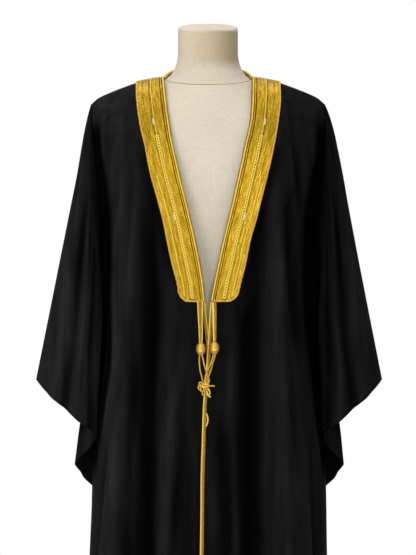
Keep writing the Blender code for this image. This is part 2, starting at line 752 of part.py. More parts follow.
def material(finish):
    """A Principled material for a finish, made once."""
    found = bpy.data.materials.get(finish)
    if found:
        return found
    values = FINISHES[finish]
    made = bpy.data.materials.new(finish)
    made.use_nodes = True
    shader = made.node_tree.nodes["Principled BSDF"]
    shader.inputs["Base Color"].default_value = values.colour
    shader.inputs["Roughness"].default_value = values.roughness
    shader.inputs["Metallic"].default_value = values.metallic
    return made


def place(name, data, finish):
    """Put a piece in the collection with its own finish."""
    item = bpy.data.objects.new(name, data)
    data.materials.append(material(finish))
    bpy.data.collections[COLLECTION].objects.link(item)
    return item


def finish_mesh(name, shape, finish):
    """Close a bmesh into a piece whose faces point out."""
    bmesh.ops.recalc_face_normals(shape, faces=shape.faces)
    data = bpy.data.meshes.new(name)
    shape.to_mesh(data)
    shape.free()
    data.shade_smooth()
    data.set_sharp_from_angle(angle=CREASE_ANGLE)
    return place(name, data, finish)


def wall(name, outer, inner, finish, closed=False):
    """A cloth wall: two skins with the same grid, joined round their rims."""
    rows, cols = outer.shape[:2]
    shape = bmesh.new()
    skins = []
    for skin in (outer, inner):
        skins.append([[shape.verts.new(point) for point in row] for row in skin])
    last = cols if closed else cols - 1
    for skin in skins:
        for row in range(rows - 1):
            for col in range(last):
                after = (col + 1) % cols
                corners = (skin[row][col], skin[row][after], skin[row + 1][after], skin[row + 1][col])
                shape.faces.new((corners[0], corners[1], corners[2]))
                shape.faces.new((corners[0], corners[2], corners[3]))
    for row in (0, rows - 1):
        for col in range(last):
            after = (col + 1) % cols
            rim = (skins[0][row][col], skins[0][row][after], skins[1][row][after], skins[1][row][col])
            shape.faces.new(rim)
    if not closed:
        for col in (0, cols - 1):
            for row in range(rows - 1):
                shape.faces.new((
                    skins[0][row][col], skins[0][row + 1][col], skins[1][row + 1][col], skins[1][row][col],
                ))
    return finish_mesh(name, shape, finish)


def applied(name, grid, normals, lift, heights, finish):
    """A trim wall on a cloth grid: its points are the cloth's own, moved out."""
    inner = grid + normals * lift
    outer = grid + normals * (lift + BAND_WALL + heights[None, :, None])
    return wall(name, outer, inner, finish)


def across(grid, normals, places):
    """Points and normals at places, in columns, across a grid."""
    low = np.clip(np.floor(places).astype(int), 0, grid.shape[1] - 2)
    share = (places - low)[None, :, None]
    points = grid[:, low] * (1 - share) + grid[:, low + 1] * share
    return points, unit(normals[:, low] * (1 - share) + normals[:, low + 1] * share)


def front_band(side, grid, normals):
    """The broad gold band down a front, with its lower outer corner rounded."""
    places = column(BAND_RELIEF, "at") * BAND_COLUMNS
    points, directions = across(grid, normals, places)
    points = points[:BAND_BOTTOM_ROW + 1].copy()
    directions = directions[:BAND_BOTTOM_ROW + 1]
    past = (column(BAND_RELIEF, "at") - CORNER_START) / (1.0 - CORNER_START)
    round_part = np.clip(past, 0.0, 1.0)
    rise = CORNER_RISE * (1.0 - np.sqrt(1.0 - round_part ** 2))
    points[-1] += (points[-2] - points[-1]) * rise[:, None]
    heights = column(BAND_RELIEF, "height")
    applied("gold_band_" + side_name(side), points, directions, LAYER_GAP, heights, "zari_gold")


def back_band(grid, normals):
    """The gold band round the back of the neck, tapering to the fronts' bands on the shoulders."""
    centre = (grid.shape[1] - 1) // 2
    reach = NECK_COLUMNS + BACK_BAND_COLUMNS
    columns = range(centre - reach, centre + reach + 1)
    rows = np.arange(float(BACK_BAND_ROWS))
    points = []
    directions = []
    for col in columns:
        past = max(abs(col - centre) - NECK_COLUMNS, 0) / BACK_BAND_COLUMNS
        width = max(math.sqrt(1.0 - past ** 2), BACK_BAND_LEAST)
        places = rows * width
        used = slice(0, BACK_BAND_GRID_ROWS)
        line, slope = across(grid[used, col][None], normals[used, col][None], places)
        points.append(line[0])
        directions.append(slope[0])
    heights = np.array(BACK_BAND_RELIEF)
    applied("gold_band_back", np.array(points), np.array(directions), BRAID_LIFT, heights, "zari_gold")


def edge_braid(side, grid, normals):
    """The narrow braid down a front edge, from the band to the hem."""
    first = BAND_BOTTOM_ROW
    lines = []
    slopes = []
    shares = column(BRAID_RELIEF, "at")
    for row in range(first, grid.shape[0]):
        step = np.linalg.norm(grid[row, 1] - grid[row, 0])
        places = shares * BRAID_WIDTH / step
        line, slope = across(grid[row][None], normals[row][None], places)
        lines.append(line[0])
        slopes.append(slope[0])
    lines = np.array(lines)
    lines[0] += (lines[1] - lines[0]) * BRAID_TOP_GAP
    heights = column(BRAID_RELIEF, "height") * BRAID_HEIGHT - BAND_WALL / 2
    applied("edge_braid_" + side_name(side), lines, np.array(slopes), BRAID_LIFT, heights, "gold_cord")


def shoulder_braid(side, grid, normals):
    """Thin braid on the back, beside the shoulder seam, from the band to the sleeve."""
    centre = (grid.shape[1] - 1) // 2
    start = NECK_COLUMNS + BACK_BAND_COLUMNS
    offsets = range(start, start + BACK_COLUMNS)
    points = []
    directions = []
    for offset in offsets:
        col = centre + side * offset
        step = np.linalg.norm(grid[1, col] - grid[0, col])
        places = np.array(SHOULDER_BRAID_PLACES) / step
        rows = slice(0, SHOULDER_BRAID_GRID_ROWS)
        line, slope = across(grid[rows, col][None], normals[rows, col][None], places)
        points.append(line[0])
        directions.append(slope[0])
    points = np.array(points)
    points[0] += (points[1] - points[0]) * SHOULDER_BRAID_END_GAP
    heights = np.array(SHOULDER_BRAID_RELIEF)
    name = "shoulder_braid_" + side_name(side)
    applied(name, points, np.array(directions), LAYER_GAP, heights, "gold_cord")


def route_curve(points, count):
    """Even points on a smooth curve through a route."""
    route = np.array(points)
    lengths = np.concatenate(([0.0], np.cumsum(np.linalg.norm(np.diff(route, axis=0), axis=1))))
    slopes = np.gradient(route, lengths, axis=0)
    result = []
    for at in np.linspace(0.0, lengths[-1], count):
        low = min(int(np.searchsorted(lengths, at, side="right")) - 1, len(lengths) - 2)
        width = lengths[low + 1] - lengths[low]
        t = (at - lengths[low]) / width
        start = (1 + 2 * t) * (1 - t) ** 2 * route[low] + t * (1 - t) ** 2 * width * slopes[low]
        end = t * t * (3 - 2 * t) * route[low + 1] - t * t * (1 - t) * width * slopes[low + 1]
        result.append(start + end)
    return result


def cord(name, points, count, radius, end_radius, finish):
    """A round cord along a route, thinning evenly to its end."""
    data = bpy.data.curves.new(name, "CURVE")
    data.dimensions = "3D"
    data.bevel_depth = radius
    data.bevel_resolution = CORD_ROUNDNESS
    data.use_fill_caps = True
    spline = data.splines.new("POLY")
    spline.points.add(count - 1)
    for index, point in enumerate(route_curve(points, count)):
        spline.points[index].co = (*point, 1.0)
        share = index / (count - 1)
        spline.points[index].radius = 1.0 + (end_radius / radius - 1.0) * share
    return place(name, data, finish)


def bead(name, centre, width, height, finish):
    """A closed round bead."""
    shape = bmesh.new()
    bmesh.ops.create_uvsphere(shape, u_segments=BEAD_SEGMENTS, v_segments=BEAD_RINGS, radius=1.0)
    bmesh.ops.scale(shape, vec=(width / 2, width / 2, height / 2), verts=shape.verts)
    bmesh.ops.translate(shape, vec=centre, verts=shape.verts)
    return finish_mesh(name, shape, finish)


def ties():
    """The two ties that hold the fronts together, with beads, strands and their knot."""
    radii = (TIE_RIGHT_RADIUS, TIE_RIGHT_END_RADIUS)
    cord("tie_upper_right", TIE_UPPER_RIGHT, UPPER_POINTS, *radii, "gold_cord")
    radii = (TIE_LEFT_RADIUS, TIE_LEFT_END_RADIUS)
    cord("tie_upper_left", TIE_UPPER_LEFT, UPPER_POINTS, *radii, "gold_cord")
    bead("tie_bead_right", BEAD_RIGHT, BEAD_WIDTH, BEAD_HEIGHT, "zari_gold")
    bead("tie_bead_left", BEAD_LEFT, BEAD_WIDTH, BEAD_HEIGHT, "zari_gold")
    bead("tie_knot", KNOT, KNOT_WIDTH, KNOT_HEIGHT, "gold_cord")
    for name, route in TIE_ROUTES.items():
        cord(name, route, ROUTE_POINTS, STRAND_RADIUS, STRAND_RADIUS, "gold_cord")


def neck_base(turn):
    """A point of the form's neck seam: turn is 0 at the front and pi at the back."""
    x = NECK_BASE_X * math.sin(turn)
    forward = math.cos(turn)
    y = -forward * (NECK_BASE_FRONT if forward > 0 else NECK_BASE_BACK)
    return np.array([x, y, NECK_BASE_Z + NECK_BASE_SLOPE * y])


def form_columns():
    """Turns round the neck seam, and distances along the shoulder, of the form's columns."""
    neck = [math.pi / 2 * step / FORM_NECK_COLUMNS for step in range(FORM_NECK_COLUMNS + 1)]
    reach = FORM_SECTIONS[0].half - NECK_BASE_X
    shoulder = []
    for step in range(1, FORM_SHOULDER_COLUMNS + 1):
        shoulder.append(NECK_BASE_X + reach * math.sin(math.pi / 2 * step / FORM_SHOULDER_COLUMNS))
    return neck, shoulder


def form_half(facing, facing_sign):
    """Front or back of the form, from its right side to its left."""
    neck, shoulder = form_columns()
    halves = []
    for turn in neck:
        base = neck_base(turn if facing_sign < 0 else math.pi - turn)
        halves.append((base[0], base[1], base[2]))
    for x in shoulder:
        halves.append((x, 0.0, float(shoulder_z(x)) - FORM_CLEARANCE))
    count = len(halves) - 1
    heights = column(FORM_SECTIONS, "z")[1:]
    rows = len(TOP_FRACTIONS) + len(heights) - 1
    grid = np.zeros((rows, 2 * count + 1, 3))
    for index, (top_x, top_y, top_z) in enumerate(halves):
        levels = [top_z - part * (top_z - CHEST_Z) for part in TOP_FRACTIONS] + list(heights[1:])
        for row, z in enumerate(levels):
            side_z = min(z, FORM_SECTIONS[0].z)
            seam_x = look_up(FORM_SECTIONS, "z", "half", side_z)
            turn = math.pi / 2 * index / count
            low_x = seam_x * math.sin(turn) ** FORM_SPREAD_POWER
            settled = ease((top_z - z) / (top_z - FORM_SETTLED_Z))
            x = top_x * min(seam_x / FORM_SECTIONS[0].half, 1.0) * (1 - settled) + low_x * settled
            natural = form_depth(facing, x, z, seam_x)
            chest = form_depth(facing, top_x, CHEST_Z, look_up(FORM_SECTIONS, "z", "half", CHEST_Z))
            stand = max(1.0 - natural / max(chest, 0.001), 0.0) if z > CHEST_Z else 0.0
            y = facing_sign * natural + top_y * stand * abs(top_y) / NECK_BASE_FRONT
            if row == 0:
                x, y = top_x, top_y
            if index == count:
                y = 0.0
            grid[row, count + index] = (x, y, z)
            grid[row, count - index] = (-x, y, z)
    return grid


def form_depth(facing, x, z, seam_x):
    """Depth of the form: under the cloth on the shoulders, then its own section."""
    drop = max(float(shoulder_z(x)) - FORM_CLEARANCE - z, 0.0)
    clearance = FORM_CLEARANCE + FORM_EXTRA_CLEARANCE * ease(drop / FORM_EXTRA_REACH)
    under_cloth = float(look_up(PROFILE, "drop", facing, drop)) - clearance
    under_cloth *= max(1.0 - (abs(x) / FORM_SHOULDER_X) ** FORM_SHOULDER_POWER, 0.0) ** FORM_SHOULDER_ROOT
    own = float(look_up(FORM_SECTIONS, "z", facing, z))
    own *= max(1.0 - (abs(x) / seam_x) ** FORM_SECTION_POWER, 0.0) ** (1 / FORM_SECTION_POWER)
    return max(min(under_cloth, own), 0.0)


def form_torso():
    """The limbless body form: front and back joined at the sides, under the neck and below."""
    front = form_half("front", -1)
    back = form_half("back", 1)
    rows, cols = front.shape[:2]
    shape = bmesh.new()
    sheets = [[[shape.verts.new(point) for point in row] for row in sheet] for sheet in (front, back)]
    for sheet in sheets:
        for row in range(rows - 1):
            for col in range(cols - 1):
                upper = (sheet[row][col], sheet[row][col + 1])
                lower = (sheet[row + 1][col + 1], sheet[row + 1][col])
                shape.faces.new(upper + lower)
    for row in (0, rows - 1):
        for col in range(cols - 1):
            first = (sheets[0][row][col], sheets[0][row][col + 1])
            second = (sheets[1][row][col + 1], sheets[1][row][col])
            shape.faces.new(first + second)
    bmesh.ops.remove_doubles(shape, verts=shape.verts, dist=FORM_MERGE)
    bmesh.ops.dissolve_degenerate(shape, edges=shape.edges, dist=FORM_MERGE)
    return finish_mesh("form_torso", shape, "linen")


def form_neck():
    """The form's neck: a flare from the seam to a straight column with a covered flat top."""
    turns = [2 * math.pi * step / NECK_SEGMENTS for step in range(NECK_SEGMENTS)]
    shape = bmesh.new()
    rings = []
    for ring in NECK_RINGS:
        points = []
        for turn in turns:
            base = neck_base(turn) + np.array([0.0, 0.0, LAYER_GAP])
            top = np.array([NECK_TOP_RADIUS * math.sin(turn), -NECK_TOP_RADIUS * math.cos(turn), NECK_TOP_Z])
            top[2] += top[1] * math.tan(NECK_TILT)
            level = top[:2] + (base[:2] - top[:2]) * max(ring.flare, 0.0)
            level = level * (1.0 + min(ring.flare, 0.0) * NECK_RIM_EASE)
            height = base[2] + (top[2] - base[2]) * ring.up
            points.append(shape.verts.new((level[0], level[1], height)))
        rings.append(points)
    for low, high in zip(rings, rings[1:]):
        for index in range(NECK_SEGMENTS):
            after = (index + 1) % NECK_SEGMENTS
            shape.faces.new((low[index], low[after], high[after], high[index]))
    for ring in (rings[0], rings[-1]):
        for index in range(NECK_SEGMENTS // 2):
            opposite = NECK_SEGMENTS - index
            corners = [ring[index], ring[index + 1], ring[opposite - 1], ring[opposite % NECK_SEGMENTS]]
            unique = list(dict.fromkeys(corners))
            shape.faces.new(unique)
    return finish_mesh("form_neck", shape, "linen")


def turned(name, radius, low, high, bevel, segments, finish):
    """A round upright piece with its rims eased."""
    shape = bmesh.new()
    bmesh.ops.create_cone(
        shape, cap_ends=True, segments=segments, radius1=radius, radius2=radius, depth=high - low,
    )
    bmesh.ops.translate(shape, vec=(0.0, 0.0, (low + high) / 2), verts=shape.verts)
    if bevel:
        rims = [edge for edge in shape.edges if abs(edge.verts[0].co.z - edge.verts[1].co.z) < 1e-6
                and edge.verts[0].co.z > (low + high) / 2]
        bmesh.ops.bevel(shape, geom=rims, offset=bevel, segments=2, affect="EDGES", profile=0.5)
    return finish_mesh(name, shape, finish)


def main():
    """Build every piece of the cloak, the form and the stand."""
    clear_scene()
    bpy.context.scene.collection.children.link(bpy.data.collections.new(COLLECTION))
    for side in (-1, 1):
        grid, normals = front_grid(side)
        wall("front_" + side_name(side), grid, grid - normals * CLOTH_WALL, "black_wool")
        front_band(side, grid, normals)
        edge_braid(side, grid, normals)
        sleeve, slopes = sleeve_grid(side)
        wall("sleeve_" + side_name(side), sleeve, sleeve - slopes * CLOTH_WALL, "black_wool", closed=True)
    grid, normals = back_grid()
    wall("back", grid, grid - normals * CLOTH_WALL, "black_wool")
    back_band(grid, normals)
    for side in (-1, 1):
        shoulder_braid(side, grid, normals)
    ties()
    form_torso()
    form_neck()
    pole_low = BASE_HEIGHT + SEAM_GAP
    turned("stand_pole", POLE_RADIUS, pole_low, FORM_BOTTOM_Z - SEAM_GAP, 0.0, POLE_SEGMENTS, "dark_metal")
    turned("stand_base", BASE_RADIUS, 0.0, BASE_HEIGHT, BASE_BEVEL, BASE_SEGMENTS, "dark_metal")


main()
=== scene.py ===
# %% [markdown]
# # A black bisht with gold bands, on a dress form
# The solid model already has every piece in its right place and size. This lesson dresses it:
# cloth shells with their creases, gold thread work, tie cords with wrapped beads, linen and light.

# %% Load the fixed model
import math
from collections import namedtuple

import bmesh
import bpy
import numpy as np
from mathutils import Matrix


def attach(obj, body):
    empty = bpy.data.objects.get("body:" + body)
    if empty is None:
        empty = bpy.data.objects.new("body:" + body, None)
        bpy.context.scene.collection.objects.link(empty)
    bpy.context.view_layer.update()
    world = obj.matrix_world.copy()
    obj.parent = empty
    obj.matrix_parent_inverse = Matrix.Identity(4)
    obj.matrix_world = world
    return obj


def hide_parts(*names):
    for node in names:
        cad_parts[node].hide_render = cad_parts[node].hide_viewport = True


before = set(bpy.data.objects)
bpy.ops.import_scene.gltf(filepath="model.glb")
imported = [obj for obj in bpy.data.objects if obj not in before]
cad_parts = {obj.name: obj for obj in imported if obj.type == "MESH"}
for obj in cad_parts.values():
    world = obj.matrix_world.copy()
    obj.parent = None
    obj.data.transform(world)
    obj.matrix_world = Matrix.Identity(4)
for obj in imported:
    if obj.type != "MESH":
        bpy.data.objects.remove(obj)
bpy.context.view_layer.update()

# %% [markdown]
# The camera stands at chest height, four metres off, and looks slightly down. A near camera with a
# short lens would swell the chest. The long lens keeps shoulders and cuffs in true proportion.

# %% Camera
lens = bpy.data.cameras.new("studio_camera")
lens.sensor_width = 36.0
lens.lens = 126.75
lens.clip_end = 100.0
camera = bpy.data.objects.new("studio_camera", lens)
camera.location = (0.0, -4.02, 1.3)
camera.rotation_euler = (math.radians(86.4), 0.0, 0.0)
bpy.context.scene.collection.objects.link(camera)
bpy.context.scene.camera = camera
print("camera at", tuple(camera.location))

# %% [markdown]
# ## Finishes
# Woven goods share one effect: rows of threads that cross. It is built once as a node group that puts
# out a height, and each cloth uses it at its own thread spacing. Small helpers keep the wiring of the
# nodes short.

# %% Shader helpers
def new_material(name, colour, roughness, metallic=0.0):
    """A Principled material and its node tree."""
    made = bpy.data.materials.new(name)
    made.use_nodes = True
    shader = made.node_tree.nodes["Principled BSDF"]
    shader.inputs["Base Color"].default_value = (*colour, 1.0)
    shader.inputs["Roughness"].default_value = roughness
    shader.inputs["Metallic"].default_value = metallic
    made.diffuse_color = (*colour, 1.0)
    return made, made.node_tree, shader


def node(tree, kind, **values):
    """A node with its inputs and settings."""
    made = tree.nodes.new(kind)
    for key, value in values.items():
        if key in made.inputs:
            made.inputs[key].default_value = value
        else:
            setattr(made, key, value)
    return made


def math_node(tree, operation, first, second=None, third=None):
    """A Math node fed by sockets or numbers."""
    made = tree.nodes.new("ShaderNodeMath")
    made.operation = operation
    for index, value in enumerate((first, second, third)):
        if value is None:
            continue
        if isinstance(value, (int, float)):
            made.inputs[index].default_value = value
        else:
            tree.links.new(value, made.inputs[index])
    return made.outputs[0]


def xyz(tree, vector):
    """The three numbers of a vector, as sockets."""
    split = tree.nodes.new("ShaderNodeSeparateXYZ")
    tree.links.new(vector, split.inputs[0])
    return split.outputs


def stretched_noise(tree, coordinate, scale, detail=3.0, roughness=0.55):
    """Noise drawn out along one direction, as threads and slubs are."""
    mapping = node(tree, "ShaderNodeMapping")
    mapping.inputs["Scale"].default_value = scale
    noise = node(tree, "ShaderNodeTexNoise", Scale=1.0, Detail=detail, Roughness=roughness)
    tree.links.new(coordinate, mapping.inputs["Vector"])
    tree.links.new(mapping.outputs[0], noise.inputs["Vector"])
    return noise.outputs["Fac"]


print("noise and sums ready")

# %% Colours and relief
def ramp(tree, value, stops):
    """A colour ramp through (place, colour) stops."""
    made = tree.nodes.new("ShaderNodeValToRGB")
    made.color_ramp.elements[0].position = stops[0][0]
    made.color_ramp.elements[0].color = (*stops[0][1], 1.0)
    made.color_ramp.elements[1].position = stops[-1][0]
    made.color_ramp.elements[1].color = (*stops[-1][1], 1.0)
    for place, colour in stops[1:-1]:
        element = made.color_ramp.elements.new(place)
        element.color = (*colour, 1.0)
    tree.links.new(value, made.inputs[0])
    return made.outputs[0]


def blend_colours(tree, kind, factor, first, second):
    """Two colours mixed."""
    made = tree.nodes.new("ShaderNodeMix")
    made.data_type = "RGBA"
    made.blend_type = kind
    for socket, value in ((made.inputs[0], factor), (made.inputs[6], first), (made.inputs[7], second)):
        if isinstance(value, (int, float)):
            socket.default_value = value
        elif isinstance(value, tuple):
            socket.default_value = (*value, 1.0)
        else:
            tree.links.new(value, socket)
    return made.outputs[2]


def bump(tree, shader, height, distance, strength=1.0, before=None):
    """Surface relief from a height."""
    made = node(tree, "ShaderNodeBump", Strength=strength, Distance=distance)
    tree.links.new(height, made.inputs["Height"])
    if before is not None:
        tree.links.new(before, made.inputs["Normal"])
    tree.links.new(made.outputs[0], shader.inputs["Normal"])
    return made.outputs[0]


print("shader helpers ready")

# %% The crossed-thread group
def crossed_threads():
    """Group: threads that cross at a spacing, from coordinates in metres."""
    group = bpy.data.node_groups.new("crossed_threads", "ShaderNodeTree")
    group.interface.new_socket("Metres", in_out="INPUT", socket_type="NodeSocketVector")
    group.interface.new_socket("Threads per metre", in_out="INPUT", socket_type="NodeSocketFloat")
    group.interface.new_socket("Slant", in_out="INPUT", socket_type="NodeSocketFloat")
    group.interface.new_socket("Height", in_out="OUTPUT", socket_type="NodeSocketFloat")
    start = group.nodes.new("NodeGroupInput")
    end = group.nodes.new("NodeGroupOutput")
    place = xyz(group, start.outputs[0])
    turn = math_node(group, "MULTIPLY", start.outputs[1], 2 * math.pi)
    warp = math_node(group, "SINE", math_node(group, "MULTIPLY", place[0], turn))
    leaning = math_node(group, "MULTIPLY_ADD", place[0], start.outputs[2], place[1])
    weft = math_node(group, "SINE", math_node(group, "MULTIPLY", leaning, turn))
    crossed = math_node(group, "MULTIPLY", warp, weft)
    group.links.new(math_node(group, "MULTIPLY_ADD", crossed, 0.5, 0.5), end.inputs[0])
    return group


threads_group = crossed_threads()


def add_threads(tree, metres, per_metre, slant):
    """The crossed threads placed in a material."""
    made = tree.nodes.new("ShaderNodeGroup")
    made.node_tree = threads_group
    tree.links.new(metres, made.inputs["Metres"])
    made.inputs["Threads per metre"].default_value = per_metre
    made.inputs["Slant"].default_value = slant
    return made.outputs["Height"]


print("group sockets:", [item.name for item in threads_group.interface.items_tree])

# %% [markdown]
# Zari is thin gilt wire wound on a silk core and laid in rows. The broad fields glint in short
# streaks, and the grooves between the rows fall into brown shadow. Thousands of threads could be
# modelled, but they would be too fine to see. The colour follows the place across the band instead,
# with painted shade in the grooves and under the chain and painted highlight on the raised rows, so
# the grooves keep their lines down its length.

# %% Gold thread work
GOLD_LIGHT = (0.86, 0.64, 0.085)
GOLD = (0.56, 0.34, 0.0055)
GOLD_DEEP = (0.33, 0.155, 0.001)
WHITE = (1.0, 1.0, 1.0)
RAISED_HIGHLIGHT = (1.2, 1.2, 1.2)
GROOVE_SHADE = (0.22, 0.11, 0.02)
PIPING_SHADE = (0.9, 0.85, 0.8)
CHAIN_AT = 0.492
# Painted shade under the chain: its half width, where it starts down the band, and its colour
CHAIN_SHADE_HALF = 0.062
CHAIN_SHADE_TOP = 0.158
CHAIN_SHADE_TONE = (0.5, 0.3, 0.05)
THREAD_ROWS = 52
THREAD_HEIGHT = 0.00025
STREAK_HEIGHT = 0.001


def table(columns, *rows):
    """A table with named columns."""
    row = namedtuple("row", columns)
    return tuple(row(*values) for values in rows)


# Across the band from its inner edge to its outer edge: what multiplies the gold. Painted shade darkens
# the grooves and the ground under the piping, and painted highlight lightens the raised rows
BAND_SHADE_AND_HIGHLIGHT = table(
    "at colour",
    (0.000, (0.3, 0.2, 0.12)), (0.03, PIPING_SHADE), (0.082, PIPING_SHADE), (0.09, GROOVE_SHADE),
    (0.108, GROOVE_SHADE), (0.122, RAISED_HIGHLIGHT), (0.146, RAISED_HIGHLIGHT), (0.16, GROOVE_SHADE), (0.184, GROOVE_SHADE),
    (0.2, RAISED_HIGHLIGHT), (0.225, WHITE), (0.435, WHITE), (0.452, (0.84, 0.76, 0.56)),
    (0.535, (0.82, 0.72, 0.5)), (0.562, (0.44, 0.29, 0.11)), (0.59, WHITE), (0.74, WHITE),
    (0.762, (0.66, 0.54, 0.36)), (0.79, WHITE), (0.925, WHITE), (0.945, (0.7, 0.6, 0.5)),
    (1.000, (0.95, 0.88, 0.84)),
)


print("tones across a band:", len(BAND_SHADE_AND_HIGHLIGHT))

# %% Zari
def zari_material():
    """Laid gilt thread with grooves across the band, with painted shade in the grooves and under the chain
    and painted highlight on the raised rows.
    """
    made, tree, shader = new_material("zari_gold", GOLD, 0.42, 0.86)
    uv = node(tree, "ShaderNodeUVMap", uv_map="band").outputs[0]
    across, down, _ = xyz(tree, uv)
    streaks = stretched_noise(tree, uv, (15.0, 34.0, 1.0), 3.0, 0.65)
    fine = stretched_noise(tree, uv, (28.0, 260.0, 1.0), 2.0, 0.7)
    blotches = stretched_noise(tree, uv, (3.0, 22.0, 1.0), 2.0)
    mixed = math_node(tree, "ADD", math_node(tree, "MULTIPLY", streaks, 0.6),
                      math_node(tree, "MULTIPLY", fine, 0.4))
    tone = ramp(tree, mixed, ((0.32, GOLD_DEEP), (0.48, GOLD), (0.64, GOLD_LIGHT)))
    slow = ramp(tree, blotches, ((0.35, (0.93, 0.91, 0.86)), (0.65, (1.05, 1.05, 1.04))))
    tone = blend_colours(tree, "MULTIPLY", 1.0, tone, slow)
    # Painted shade in the grooves and painted highlight on the raised rows
    tone = blend_colours(tree, "MULTIPLY", 1.0, tone, ramp(tree, across, BAND_SHADE_AND_HIGHLIGHT))
    # Painted shade under the chain of stitches
    from_chain = math_node(tree, "ABSOLUTE", math_node(tree, "SUBTRACT", across, CHAIN_AT))
    chain_shade = math_node(tree, "MULTIPLY", math_node(tree, "LESS_THAN", from_chain, CHAIN_SHADE_HALF),
                            math_node(tree, "GREATER_THAN", down, CHAIN_SHADE_TOP))
    tone = blend_colours(tree, "MULTIPLY", chain_shade, tone, CHAIN_SHADE_TONE)
    tree.links.new(tone, shader.inputs["Base Color"])
    tree.links.new(math_node(tree, "MULTIPLY_ADD", streaks, -0.3, 0.56), shader.inputs["Roughness"])
    rows = math_node(tree, "SINE", math_node(tree, "MULTIPLY_ADD", across, THREAD_ROWS * 2 * math.pi,
                                             math_node(tree, "MULTIPLY", streaks, 9.0)))
    laid = bump(tree, shader, rows, THREAD_HEIGHT, 0.7)
    bump(tree, shader, mixed, STREAK_HEIGHT, 0.8, laid)
    return made


zari = zari_material()
print("made", zari.name)

# %% Gold cords
def gold_cord_material(name, colour_low, colour_high, wrap, metallic=0.35, roughness=0.38):
    """Twisted gilt cord: fine turns of wire round each ply, one in each wrap of its length."""
    made, tree, shader = new_material(name, colour_high, roughness, metallic)
    uv = node(tree, "ShaderNodeUVMap", uv_map="cord").outputs[0]
    around, along, _ = xyz(tree, uv)
    noise = stretched_noise(tree, uv, (4.0, 300.0, 1.0), 2.0)
    turns = math_node(tree, "SINE", math_node(tree, "MULTIPLY_ADD", along, 2 * math.pi / wrap,
                                              math_node(tree, "MULTIPLY", around, 2 * math.pi)))
    value = math_node(tree, "MULTIPLY_ADD", turns, 0.16, noise)
    tree.links.new(ramp(tree, value, ((0.3, colour_low), (0.7, colour_high))), shader.inputs["Base Color"])
    bump(tree, shader, turns, 0.00012, 0.8)
    return made


gold_cord = gold_cord_material("gold_cord", (0.58, 0.28, 0.014), (1.0, 0.68, 0.12), 0.0007, 0.35)
deep_cord = gold_cord_material("deep_gold_cord", (0.2, 0.08, 0.003), (0.62, 0.34, 0.026), 0.0007)
pale_cord = gold_cord_material("pale_gold_cord", (0.9, 0.6, 0.05), (1.0, 0.84, 0.17), 0.0007, 0.35)
silver_cord = gold_cord_material("silver_thread", (0.72, 0.67, 0.58), (0.98, 0.96, 0.9), 0.0006, 0.3)
bead_gold = gold_cord_material("bead_thread", (0.54, 0.275, 0.022), (0.82, 0.55, 0.12), 0.0013, 0.7, 0.3)
print("cord finishes:", gold_cord.name, deep_cord.name, pale_cord.name, silver_cord.name, bead_gold.name)

# %% [markdown]
# ## Cords
# A gold cord is a few plies twisted or plaited together. A plain tube with a striped finish would
# have too smooth an outline, so each ply is a thin tube that winds round the cord's route. The same
# makers serve the ties, the piping, the chain of stitches and the braid down the front edge.

# %% Routes
def unit(vectors):
    """Vectors of length one."""
    length = np.linalg.norm(vectors, axis=-1, keepdims=True)
    return vectors / np.where(length < 1e-12, 1.0, length)


def distances(route):
    """Distance of each point of a route from its start."""
    return np.concatenate(([0.0], np.cumsum(np.linalg.norm(np.diff(route, axis=0), axis=1))))


def smooth_route(points, count):
    """Even points on a smooth curve through a route."""
    route = np.array(points, dtype=float)
    lengths = distances(route)
    slopes = np.gradient(route, lengths, axis=0)
    at = np.linspace(0.0, lengths[-1], count)
    low = np.clip(np.searchsorted(lengths, at, side="right") - 1, 0, len(lengths) - 2)
    width = (lengths[low + 1] - lengths[low])[:, None]
    t = (at[:, None] - lengths[low][:, None]) / width
    start = (1 + 2 * t) * (1 - t) ** 2 * route[low] + t * (1 - t) ** 2 * width * slopes[low]
    end = t * t * (3 - 2 * t) * route[low + 1] - t * t * (1 - t) * width * slopes[low + 1]
    return start + end


def carried_frames(route, up):
    """Directions along, across and above each point of a route."""
    along = unit(np.gradient(route, axis=0))
    up = np.broadcast_to(np.array(up, dtype=float), route.shape)
    across = unit(np.cross(along, up))
    return along, across, unit(np.cross(across, along))


print("route helpers ready")

# %% Plies
def tube_rings(route, radii, sides):
    """Rings of points round a route, each turned as little as it can be from the last."""
    along = unit(np.gradient(route, axis=0))
    first = np.cross(along[0], (0.31, 0.87, 0.38))
    across = np.empty_like(route)
    across[0] = first / np.linalg.norm(first)
    for index in range(1, len(route)):
        moved = across[index - 1] - along[index] * (across[index - 1] @ along[index])
        across[index] = moved / np.linalg.norm(moved)
    above = np.cross(along, across)
    turn = np.linspace(0.0, 2 * math.pi, sides, endpoint=False)
    ring = np.cos(turn)[None, :, None] * across[:, None] + np.sin(turn)[None, :, None] * above[:, None]
    return route[:, None] + ring * np.broadcast_to(radii, len(route))[:, None, None]


def add_object(name, data):
    """An object for some data, put in the scene."""
    item = bpy.data.objects.new(name, data)
    bpy.context.scene.collection.objects.link(item)
    return item


